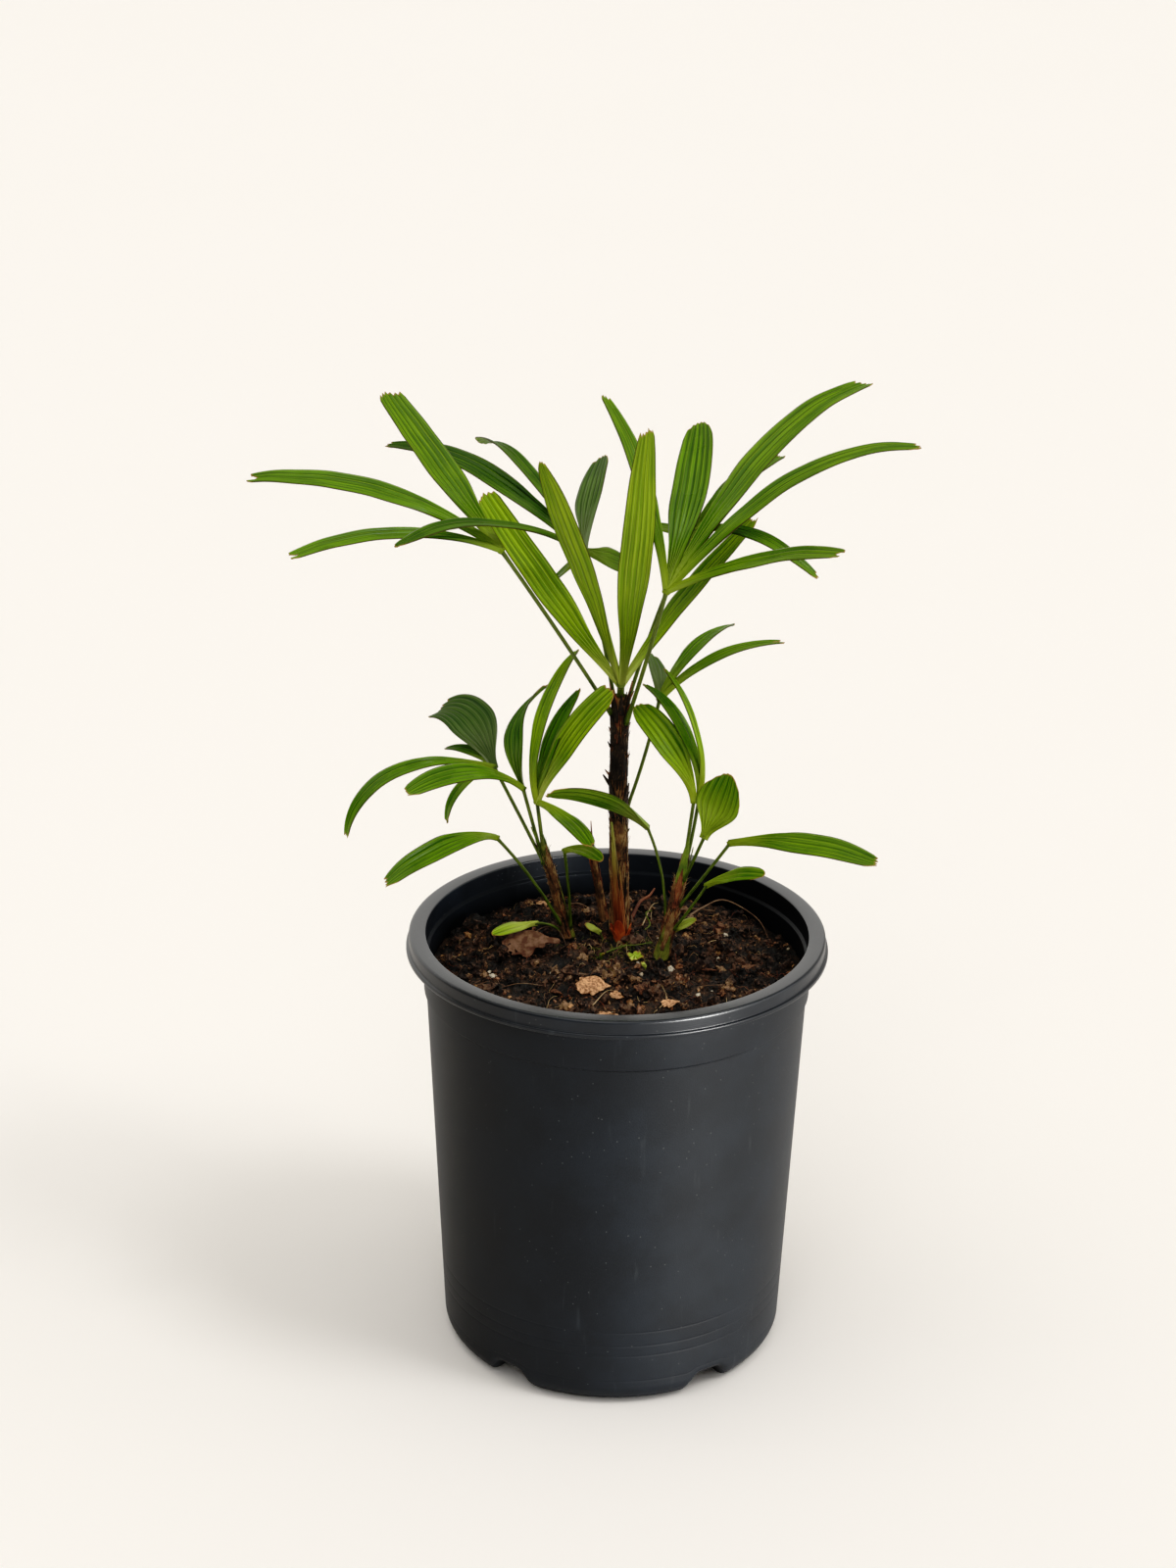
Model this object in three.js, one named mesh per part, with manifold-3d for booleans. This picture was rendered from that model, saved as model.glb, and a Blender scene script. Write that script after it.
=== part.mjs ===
// Lady palm (Rhapis) in a round nursery pot.
//
// A young clump: one tall cane, three shorter ones and a new shoot stand on the soil, and nineteen fronds
// leave the canes. Each frond is one solid: a thin stalk with its leaflets cut to the point where the stalk
// ends.
// Millimetres, +Z up. The origin is the centre of the pot's flat underside, and -Y is the front of the plant.

import * as THREE from 'three';
import { mergeVertices } from 'three/addons/utils/BufferGeometryUtils.js';
import Module from 'manifold-3d';

const wasm = await Module();
wasm.setup();

// ---- Driving dimensions -----------------------------------------------------------------------------

const GAP = 0.3; // clearance between two solids that touch on the real plant
const OVERRUN = 1; // how far a cut runs past the face that it opens

const POT = {
  height: 224,
  wall: 1.5,
  baseThickness: 2,
  baseRadius: 87.3, // outer wall carried down to the floor, before the corner is rounded
  cornerRadius: 10.6,
  cornerSteps: 4,
  bodyTopRadius: 96.2, // outer wall just under the step
  stepHeight: 193, // small outward step below the rim
  stepRise: 1,
  collarRadius: 97.4, // outer wall just above the step
  collarTopRadius: 98.2, // outer wall where the rim hides it
  segments: 48,
};

const RIM = {
  openingRadius: 96.3,
  outerRadius: 105,
  beadRadius: 106.3, // thick lower edge of the skirt
  beadHeight: 2.6,
  depth: 9,
  plate: 1.8, // thickness of the flat top
  skirt: 1.6, // thickness of the skirt
  bevel: 0.8, // on the outer and the inner edge of the top
  ledgeDrop: 11, // the inner wall steps in this far below the top
  ledgeSlope: 1,
  ledgeRadius: 94.6,
};

const NOTCH = {
  count: 5,
  firstAngle: -37.4, // degrees from the front, positive towards +X
  halfWidth: 14,
  height: 9,
  steps: 8,
  innerRadius: 64,
  hoodWall: 1.6,
  hoodSpread: 2, // a hood is this much wider than its notch on each side
  slotLength: 10, // drainage slot through each hood's roof
  slotWidth: 4,
  slotRadius: 70,
};

const SOIL = {
  edgeHeight: 203, // at the pot's wall
  height: 211, // of the level middle that the canes stand on
  levelRadius: 56,
};

const CANE_SIDES = 10;
const CANE_RINGS = 6;
const STALK_SIDES = 6;
const STALK_STEPS = 5;

const BLADE = {
  steps: 6,
  trough: 0.1, // how far the edges stand above the midrib, as a part of the width
  rootWidth: 0.22, // width where the stalk ends, as a part of the full width
  tipWidth: 0.34, // width of the blunt tip, as a part of the full width
  taper: 2.4, // higher values keep the blade broad until nearer its tip
  thickness: 0.0105, // as a part of the length
  thinnest: 1,
  sink: 1, // how far a blade's root reaches back into its stalk
};

// ---- Canes ---------------------------------------------------------------------------------------------
// Foot and tip are axis points, with the radius at each, and lean is how far the middle swings.

const FOOT = SOIL.height + GAP;

const CANES = {
  main_cane: { foot: [2, 25, FOOT], tip: [0, 25, 340], lean: [-2, 0], radius: [5.2, 4.7], flare: 1.6 },
  left_cane: { foot: [-25, 18, FOOT], tip: [-38, 14, 263], lean: [1, 0], radius: [3.6, 2.4], flare: 0.8 },
  short_cane: { foot: [-6, 39, FOOT], tip: [-13, 38, 250], lean: [0, 0], radius: [2.8, 1.6], flare: 0.6 },
  right_cane: { foot: [22, -6, FOOT], tip: [33.5, -2, 266], lean: [1, 0], radius: [4.2, 2.5], flare: 0.8 },
};

const SHOOT = { foot: [2.5, 15, FOOT], tip: [-3.5, 17.5, 275], lean: [0, 0], radius: [3.6, 0.6], flare: 0.6 };

// ---- Fronds -----------------------------------------------------------------------------------------
// A stalk leaves its cane at a height above the soil. Side is the azimuth it leaves towards, or null where
// it grows out of the cane's top, and bow shifts its middle. A blade leaves the hub, where the stalk ends, at
// an azimuth (degrees from +X towards +Y) and a rise above the level. Over its length the rise falls by droop
// and the azimuth turns by swing. Twist turns its face about its own line. With bend 2 the droop comes late,
// near the tip, and with bend 0.5 it comes early.

const blade = (azimuth, rise, length, width, droop, swing, twist, bend = 1) => ({
  azimuth, rise, length, width, droop, swing, twist, bend,
});

const FRONDS = {
  main_frond_front: {
    cane: 'main_cane', height: 128, side: null, hub: [0, 17, 348], bow: [0, 0, 0], stalk: 2.2,
    blades: [
      blade(153, 46, 118, 17, -6, 2, 25),
      blade(199, 74, 138, 16, 16, 44, -10),
      blade(286, 70, 144, 19, -14, 4, -15),
      blade(21, 56, 108, 16, 19, 10, 0),
    ],
  },
  main_frond_left: {
    cane: 'main_cane', height: 119, side: 190, hub: [-59, 12, 419], bow: [2, -2, 0], stalk: 1.2,
    blades: [
      blade(181, 38, 133, 18, 49, -14, 10),
      blade(126, 29, 117, 20, 0, 0, -5),
      blade(207, 27, 113, 15, 44, -3, 5),
    ],
  },
  main_frond_back_left: {
    cane: 'main_cane', height: 118, side: 115, hub: [-19, 35, 412], bow: [1, 10, 0], stalk: 1.2,
    blades: [
      blade(147, 32, 126, 18, 46, 5, 5, 2),
      blade(144, 47, 100, 14, 74, -28, -20, 2),
      blade(204, 33, 123, 13, 43, 32, 5),
      blade(88, 49, 66, 17, 37, -13, 35),
      blade(26, -19, 34, 16, 18, 0, -30),
      blade(130, -48, 34, 12, -15, 0, 35),
    ],
  },
  main_frond_right: {
    cane: 'main_cane', height: 115, side: 320, hub: [21, 0, 403], bow: [1, -2, 0], stalk: 1.3,
    blades: [
      blade(122, 78, 110, 14, 55, -7, -25),
      blade(67, 55, 105, 20, 35, 21, 20),
      blade(38, 49, 159, 20, 49, 2, 5, 2),
      blade(19, 46, 146, 17, 49, -25, -5, 2),
      blade(342, 31, 110, 16, 20, -39, -15),
    ],
  },
  main_frond_back_right: {
    cane: 'main_cane', height: 120, side: 50, hub: [33, 32, 421], bow: [-2, 9, 0], stalk: 1.2,
    blades: [
      blade(331, 56, 74, 15, 101, 16, 0, 0.5),
      blade(132, 3, 31, 12, 8, 0, 0),
      blade(85, 28, 84, 16, 20, 0, 30),
      blade(48, 40, 78, 15, 40, 0, 10),
    ],
  },
  main_frond_low_right: {
    cane: 'main_cane', height: 66, side: 30, hub: [20, 45, 331], bow: [1, -1, -4], stalk: 1.1,
    blades: [
      blade(89, 48, 35, 14, 46, 19, -40),
      blade(45, 54, 73, 14, 70, 14, 20),
      blade(25, 43, 77, 12, 54, 0, 5),
    ],
  },
  left_frond_top: {
    cane: 'left_cane', height: 52, side: null, hub: [-41, 14, 287], bow: [0, 0, 0], stalk: 1.2,
    blades: [
      blade(51, 111, 92, 13, 104, 13, 30),
      blade(47, 85, 63, 14, 48, -4, 15),
      blade(350, 73, 75, 17, 28, -6, -45),
      blade(311, 3, 53, 13, 18, -19, 10),
    ],
  },
  left_frond_middle: {
    cane: 'left_cane', height: 42, side: 200, hub: [-48, 12, 295], bow: [0, 0, 0], stalk: 1.1,
    blades: [
      blade(226, 41, 85, 16, 55, 0, 15),
      blade(133, 58, 63, 14, 32, -110, 40),
    ],
  },
  left_frond_back: {
    cane: 'left_cane', height: 36, side: 130, hub: [-63, 28, 300], bow: [0, 2, 0], stalk: 1.1,
    blades: [
      blade(213, 20, 101, 14, 113, -10, 0, 2),
      blade(125, 53, 56, 26, 104, 17, 15, 2),
      blade(135, 29, 36, 9, 58, 8, 5),
      blade(196, -7, 41, 10, 84, 3, 0),
    ],
  },
  left_frond_outer: {
    cane: 'left_cane', height: 8, side: 230, hub: [-61, 5, 271], bow: [3, -3, 4], stalk: 1,
    blades: [blade(239, 28, 79, 17, 63, -30, 5)],
  },
  left_frond_inner: {
    cane: 'left_cane', height: 6, side: 330, hub: [-27, 8, 263], bow: [1, 0, 0], stalk: 0.9,
    blades: [blade(318, 33, 29, 9, 53, -10, -15)],
  },
  left_frond_low: {
    cane: 'left_cane', height: 4, side: 205, hub: [-41, 10, 222], bow: [0, 0, 3], stalk: 0.9,
    blades: [blade(220, 14, 29, 8, 20, 0, 15)],
  },
  right_frond_broad: {
    cane: 'right_cane', height: 55, side: null, hub: [37, 3, 293], bow: [0, 0, 0], stalk: 1.1,
    blades: [blade(168, 82, 61, 17, 72, -48, 15)],
  },
  right_frond_slender: {
    cane: 'right_cane', height: 46, side: 60, hub: [40, 6, 296], bow: [1, 1, 0], stalk: 1.1,
    blades: [
      blade(140, 90, 69, 12, 85, -11, -15),
      blade(144, 103, 71, 9, 81, -21, -30),
    ],
  },
  right_frond_folded: {
    cane: 'right_cane', height: 42, side: 310, hub: [42, -12, 280], bow: [0, -1, 0], stalk: 1,
    blades: [blade(36, 60, 34, 26, -9, 0, -15)],
  },
  right_frond_outer: {
    cane: 'right_cane', height: 28, side: 330, hub: [55, -10, 276], bow: [0, -1, 0], stalk: 1,
    blades: [blade(327, 21, 82, 17, 32, 6, -15)],
  },
  right_frond_low: {
    cane: 'right_cane', height: 16, side: 320, hub: [44, -10, 253], bow: [1, 0, 0], stalk: 0.9,
    blades: [blade(322, 39, 41, 10, 28, -9, -30)],
  },
  right_frond_inner: {
    cane: 'right_cane', height: 22, side: 165, hub: [14, 0, 280], bow: [4, 2, 3], stalk: 0.9,
    blades: [blade(207, 47, 64, 14, 43, 0, -45)],
  },
  right_frond_sprout: {
    cane: 'right_cane', height: 5, side: 20, hub: [27, -4, 224], bow: [0, 0, 0], stalk: 0.8,
    blades: [blade(350, 52, 16, 6, 36, 0, -25)],
  },
};

// Two torn scales stand out from the front of the new shoot, just above its foot.
const SCALE_ROOT = [SHOOT.foot[0], SHOOT.foot[1] - 2, FOOT + 1.2];
const SHOOT_SCALES = [blade(268, 62, 12, 9, -10, 0, 0), blade(335, 55, 9, 6, 0, 0, 0)];

// ---- Materials --------------------------------------------------------------------------------------

const matte = (color, roughness) => new THREE.MeshStandardMaterial({ color, roughness, metalness: 0 });

const POT_PLASTIC = matte('#2c2e31', 0.55);
const POTTING_SOIL = matte('#2a1d16', 1);
const CANE_FIBRE = matte('#3a261b', 0.9);
const SHOOT_SHEATH = matte('#8a4f2a', 0.6);
const YOUNG_LEAF = matte('#6f9f2a', 0.45);
const OLD_LEAF = matte('#3c6b22', 0.4);

// ---- Solids -----------------------------------------------------------------------------------------

const radians = (degrees) => THREE.MathUtils.degToRad(degrees);
const vector = (list) => new THREE.Vector3(...list);

function toSolid(geometry) {
  const bare = geometry.clone();
  bare.deleteAttribute('normal');
  bare.deleteAttribute('uv');
  const merged = mergeVertices(bare, 1e-4);
  const mesh = new wasm.Mesh({
    numProp: 3,
    vertProperties: new Float32Array(merged.attributes.position.array),
    triVerts: new Uint32Array(merged.index.array),
  });
  return new wasm.Manifold(mesh);
}

function toGeometry(solid) {
  const mesh = solid.getMesh();
  const geometry = new THREE.BufferGeometry();
  geometry.setAttribute('position', new THREE.BufferAttribute(mesh.vertProperties, mesh.numProp));
  geometry.setIndex(new THREE.BufferAttribute(mesh.triVerts, 1));
  geometry.computeVertexNormals();
  return geometry;
}

const union = (solids) => solids.reduce((all, one) => all.add(one));

function largestPiece(solid) {
  const pieces = solid.decompose();
  return pieces.reduce((best, piece) => (piece.volume() > best.volume() ? piece : best));
}

// LatheGeometry turns about Y, so its result is stood up to turn about Z.
function turned(profile) {
  const points = profile.map(([radius, height]) => new THREE.Vector2(radius, height));
  return new THREE.LatheGeometry(points, POT.segments).rotateX(Math.PI / 2);
}

// ---- Pot and soil -----------------------------------------------------------------------------------

// Quarter round at the pot's foot, at an offset inside the outer wall, from the underside up.
function footCorner(offset) {
  const wallRadius = THREE.MathUtils.mapLinear(
    POT.cornerRadius, 0, POT.stepHeight, POT.baseRadius, POT.bodyTopRadius,
  );
  const radius = POT.cornerRadius - offset;
  const points = [];
  for (let i = 0; i <= POT.cornerSteps; i++) {
    const angle = (i / POT.cornerSteps) * (Math.PI / 2);
    const out = wallRadius - POT.cornerRadius + radius * Math.sin(angle);
    points.push([out, POT.cornerRadius - radius * Math.cos(angle)]);
  }
  return points;
}

// The inside of the pot, from the middle of its floor up to the step, at an offset from the outer wall.
function lining(offset, floor) {
  const corner = footCorner(offset).map(([radius, height]) => [radius, Math.max(height, floor)]);
  return [[0, floor], ...corner.slice(1), [POT.bodyTopRadius - offset, POT.stepHeight]];
}

function potOutline() {
  const top = POT.height;
  const skirtFoot = top - RIM.depth;
  const plateFoot = top - RIM.plate;
  const skirtInside = RIM.outerRadius - RIM.skirt;
  return [
    [0, 0],
    ...footCorner(0),
    [POT.bodyTopRadius, POT.stepHeight],
    [POT.collarRadius, POT.stepHeight + POT.stepRise],
    [POT.collarTopRadius, skirtFoot],
    [POT.collarTopRadius, plateFoot],
    [skirtInside, plateFoot],
    [skirtInside, skirtFoot],
    [RIM.beadRadius, skirtFoot],
    [RIM.beadRadius, skirtFoot + RIM.beadHeight / 2],
    [RIM.outerRadius, skirtFoot + RIM.beadHeight],
    [RIM.outerRadius, top - RIM.bevel],
    [RIM.outerRadius - RIM.bevel, top],
    [RIM.openingRadius + RIM.bevel, top],
    [RIM.openingRadius, top - RIM.bevel],
    [RIM.openingRadius, top - RIM.ledgeDrop + RIM.ledgeSlope],
    [RIM.ledgeRadius, top - RIM.ledgeDrop],
    ...lining(POT.wall, POT.baseThickness).reverse(),
  ];
}

// A bell-shaped arch that runs along a radius of the pot, towards the front.
function archBlock(halfWidth, height, from, to) {
  const shape = new THREE.Shape();
  shape.moveTo(-halfWidth, -OVERRUN);
  for (let i = 0; i <= NOTCH.steps; i++) {
    const across = THREE.MathUtils.mapLinear(i, 0, NOTCH.steps, -halfWidth, halfWidth);
    shape.lineTo(across, (height * (1 + Math.cos((Math.PI * across) / halfWidth))) / 2);
  }
  shape.lineTo(halfWidth, -OVERRUN);
  const block = new THREE.ExtrudeGeometry(shape, { depth: to - from, bevelEnabled: false });
  return block.rotateX(Math.PI / 2).translate(0, -from, 0);
}

function atEachNotch(geometry) {
  const turns = Array.from({ length: NOTCH.count }, (_, i) => NOTCH.firstAngle + (i * 360) / NOTCH.count);
  return union(turns.map((angle) => toSolid(geometry.clone().rotateZ(radians(angle)))));
}

// The roofs over the notches. A margin makes them larger all round, to cut the soil clear of them.
function hoods(margin) {
  const halfWidth = NOTCH.halfWidth + NOTCH.hoodSpread + 2 * margin;
  const height = NOTCH.height + NOTCH.hoodWall + 1.5 * margin;
  const from = NOTCH.innerRadius - NOTCH.hoodWall - margin;
  return atEachNotch(archBlock(halfWidth, height, from, RIM.outerRadius));
}

function makePot() {
  const shell = toSolid(turned(potOutline()));
  const bodyTop = [POT.bodyTopRadius, POT.stepHeight];
  const body = toSolid(turned([[0, 0], ...footCorner(0), bodyTop, [0, POT.stepHeight]]));
  const channels = atEachNotch(
    archBlock(NOTCH.halfWidth, NOTCH.height, NOTCH.innerRadius, RIM.outerRadius),
  );
  const slot = new THREE.BoxGeometry(NOTCH.slotLength, NOTCH.slotWidth, 2 * NOTCH.height);
  slot.translate(0, -NOTCH.slotRadius, NOTCH.height);
  return shell.add(hoods(0).intersect(body)).subtract(channels).subtract(atEachNotch(slot));
}

function makeSoil() {
  const profile = [
    ...lining(POT.wall + GAP, POT.baseThickness + GAP),
    [RIM.ledgeRadius - GAP, SOIL.edgeHeight],
    [SOIL.levelRadius, SOIL.height],
    [0, SOIL.height],
  ];
  return toSolid(turned(profile)).subtract(hoods(GAP));
}

// ---- Canes ------------------------------------------------------------------------------------------

function caneLine({ foot, tip, lean }) {
  const middle = vector(foot).lerp(vector(tip), 0.5).add(new THREE.Vector3(...lean, 0));
  return new THREE.QuadraticBezierCurve3(vector(foot), middle, vector(tip));
}

// A round column whose sections stay level, so that it is cut flat at the soil. A margin makes it larger all
// round, to cut a stalk clear of it.
function column(cane, margin) {
  const line = caneLine(cane);
  const geometry = new THREE.CylinderGeometry(1, 1, 1, CANE_SIDES, CANE_RINGS).rotateX(Math.PI / 2);
  const position = geometry.attributes.position;
  for (let i = 0; i < position.count; i++) {
    const along = position.getZ(i) + 0.5;
    const flare = cane.flare * Math.max(0, 1 - along * CANE_RINGS);
    const radius = THREE.MathUtils.lerp(...cane.radius, along) + flare + margin;
    const point = line.getPoint(along);
    point.x += position.getX(i) * radius;
    point.y += position.getY(i) * radius;
    point.z += margin * (2 * along - 1);
    position.setXYZ(i, point.x, point.y, point.z);
  }
  return toSolid(geometry);
}

// ---- Fronds -----------------------------------------------------------------------------------------

function bladeWidthAt(along) {
  const opening = THREE.MathUtils.lerp(BLADE.rootWidth, 1, THREE.MathUtils.smoothstep(along, 0, 0.5));
  const closing = Math.max(0, 2 * along - 1) ** BLADE.taper;
  return opening * THREE.MathUtils.lerp(1, BLADE.tipWidth, closing);
}

// Direction of a blade's midrib at a part of its length, with the way across it and the way its face looks.
function bladeFrame(blade, along) {
  const azimuth = radians(blade.azimuth + blade.swing * along);
  const rise = radians(blade.rise - blade.droop * along ** blade.bend);
  const forward = new THREE.Vector3(
    Math.cos(rise) * Math.cos(azimuth),
    Math.cos(rise) * Math.sin(azimuth),
    Math.sin(rise),
  );
  const across = new THREE.Vector3(-Math.sin(azimuth), Math.cos(azimuth), 0);
  across.applyAxisAngle(forward, -radians(blade.twist));
  const face = new THREE.Vector3().crossVectors(forward, across);
  return { forward, across, face };
}

function midrib(hub, blade) {
  const step = blade.length / BLADE.steps;
  const root = vector(hub).addScaledVector(bladeFrame(blade, 0).forward, -BLADE.sink);
  const point = vector(hub);
  const points = [root];
  for (let i = 0; i < BLADE.steps; i++) {
    point.addScaledVector(bladeFrame(blade, (i + 0.5) / BLADE.steps).forward, step);
    points.push(point.clone());
  }
  return points;
}

// A flat box bent along the midrib, narrowed to both ends, with its edges raised into a shallow trough.
function bladeSolid(hub, blade) {
  const line = midrib(hub, blade);
  const thickness = Math.max(BLADE.thinnest, BLADE.thickness * blade.length);
  const geometry = new THREE.BoxGeometry(1, 1, 1, BLADE.steps, 2, 1);
  const position = geometry.attributes.position;
  for (let i = 0; i < position.count; i++) {
    const along = position.getX(i) + 0.5;
    const side = position.getY(i);
    const width = blade.width * bladeWidthAt(along);
    const trough = (2 * Math.abs(side) - 0.5) * BLADE.trough * width;
    const { across, face } = bladeFrame(blade, along);
    const point = line[Math.round(along * BLADE.steps)].clone();
    point.addScaledVector(across, side * width);
    point.addScaledVector(face, position.getZ(i) * thickness + trough);
    position.setXYZ(i, point.x, point.y, point.z);
  }
  return toSolid(geometry);
}

function polygon(sides, radius) {
  const angles = Array.from({ length: sides }, (_, i) => (i * 2 * Math.PI) / sides);
  const corner = (angle) => new THREE.Vector2(radius * Math.cos(angle), radius * Math.sin(angle));
  return new THREE.Shape(angles.map(corner));
}

function stalkSolid(frond) {
  const cane = CANES[frond.cane];
  const along = Math.min(1, frond.height / (cane.tip[2] - cane.foot[2]));
  const start = caneLine(cane).getPoint(along);
  if (frond.side !== null) {
    const radius = THREE.MathUtils.lerp(...cane.radius, along);
    start.x += radius * Math.cos(radians(frond.side));
    start.y += radius * Math.sin(radians(frond.side));
  }
  const hub = vector(frond.hub);
  const middle = start.clone().lerp(hub, 0.5).add(vector(frond.bow));
  const end = hub.clone().addScaledVector(hub.clone().sub(middle).normalize(), frond.stalk);
  const path = new THREE.QuadraticBezierCurve3(start, middle, end);
  const section = polygon(STALK_SIDES, frond.stalk);
  return toSolid(new THREE.ExtrudeGeometry(section, { steps: STALK_STEPS, extrudePath: path }));
}

function makeFrond(frond) {
  const blades = frond.blades.map((each) => bladeSolid(frond.hub, each));
  const whole = union([stalkSolid(frond), ...blades]);
  return largestPiece(whole.subtract(column(CANES[frond.cane], GAP)));
}

function makeShoot() {
  const scales = SHOOT_SCALES.map((each) => bladeSolid(SCALE_ROOT, each));
  const whole = union([column(SHOOT, 0), ...scales]);
  return largestPiece(whole.subtract(column(CANES.main_cane, GAP)));
}

// ---- The plant --------------------------------------------------------------------------------------

const plant = new THREE.Group();

function addPart(name, solid, material) {
  const mesh = new THREE.Mesh(toGeometry(solid), material);
  mesh.name = name;
  plant.add(mesh);
}

addPart('pot', makePot(), POT_PLASTIC);
addPart('soil', makeSoil(), POTTING_SOIL);
for (const [name, cane] of Object.entries(CANES)) {
  addPart(name, column(cane, 0), CANE_FIBRE);
}
addPart('new_shoot', makeShoot(), SHOOT_SHEATH);
for (const [name, frond] of Object.entries(FRONDS)) {
  addPart(name, makeFrond(frond), name === 'main_frond_front' ? YOUNG_LEAF : OLD_LEAF);
}

export default plant;
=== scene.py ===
import math

import bmesh
import bpy
import numpy as np
from mathutils import Matrix, Vector, noise


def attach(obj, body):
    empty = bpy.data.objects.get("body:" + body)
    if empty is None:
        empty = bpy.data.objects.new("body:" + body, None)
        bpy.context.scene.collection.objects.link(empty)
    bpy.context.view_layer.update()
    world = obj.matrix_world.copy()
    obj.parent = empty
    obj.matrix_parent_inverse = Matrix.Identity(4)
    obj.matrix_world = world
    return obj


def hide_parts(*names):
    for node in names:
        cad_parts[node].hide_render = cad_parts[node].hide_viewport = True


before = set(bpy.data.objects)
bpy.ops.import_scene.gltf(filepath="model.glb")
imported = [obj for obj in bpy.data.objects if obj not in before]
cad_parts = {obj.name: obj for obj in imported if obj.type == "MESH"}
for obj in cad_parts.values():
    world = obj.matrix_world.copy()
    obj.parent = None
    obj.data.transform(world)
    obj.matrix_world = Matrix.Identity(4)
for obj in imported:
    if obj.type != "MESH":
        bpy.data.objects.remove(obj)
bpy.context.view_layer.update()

MM = 0.001
FULL_TURN = 2 * math.pi


# ---- Small tools for numbers --------------------------------------------------------------------------


def lerp(start, end, part):
    return start + (end - start) * part


def smoothstep(value, low, high):
    part = np.clip((value - low) / (high - low), 0, 1)
    return part * part * (3 - 2 * part)


def unit(vectors):
    vectors = np.asarray(vectors, float)
    return vectors / np.linalg.norm(vectors, axis=-1, keepdims=True)


def turned_about(vectors, axes, angle):
    """Turns vectors about unit axes that are square to them."""
    return vectors * np.cos(angle) + np.cross(axes, vectors) * np.sin(angle)


def field(points, size, seed=0.0):
    """Smooth noise between about -1 and 1 at each point, whose lumps are about size across."""
    flat = np.asarray(points, float).reshape(-1, 3) / size + seed
    values = [noise.noise(Vector(point)) for point in flat]
    return np.array(values).reshape(np.shape(points)[:-1])


def bent_line(start, middle, end, steps):
    """Points of a quadratic curve, whose middle is its control point."""
    part = np.linspace(0, 1, steps + 1)[:, None]
    start, middle, end = (np.asarray(point, float) for point in (start, middle, end))
    return (1 - part) ** 2 * start + 2 * part * (1 - part) * middle + part**2 * end


def smooth_line(points, steps):
    """A smooth curve through a few given points."""
    points = np.asarray(points, float)
    padded = np.vstack([2 * points[0] - points[1], points, 2 * points[-1] - points[-2]])
    place = np.linspace(0, len(points) - 1, steps + 1)
    index = np.minimum(place.astype(int), len(points) - 2)
    part = (place - index)[:, None]
    before, first, second, after = (padded[index + shift] for shift in range(4))
    curve = 2 * first + (second - before) * part
    curve += (2 * before - 5 * first + 4 * second - after) * part**2
    curve += (3 * first - before - 3 * second + after) * part**3
    return curve / 2


# ---- Meshes -------------------------------------------------------------------------------------------


def sheet_corners(rows, columns, closed):
    """Corner numbers of a sheet's quads, in its points and in its UVs, one column wider if closed."""
    left = np.arange(columns if closed else columns - 1)
    row = np.arange(rows - 1)[:, None]

    def corners(width, right):
        square = [row * width + left, row * width + right]
        square += [(row + 1) * width + right, (row + 1) * width + left]
        return np.stack(square, axis=-1).reshape(-1, 4)

    in_points = corners(columns, (left + 1) % columns)
    in_uvs = corners(columns + 1 if closed else columns, left + 1)
    return in_points, in_uvs


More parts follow.
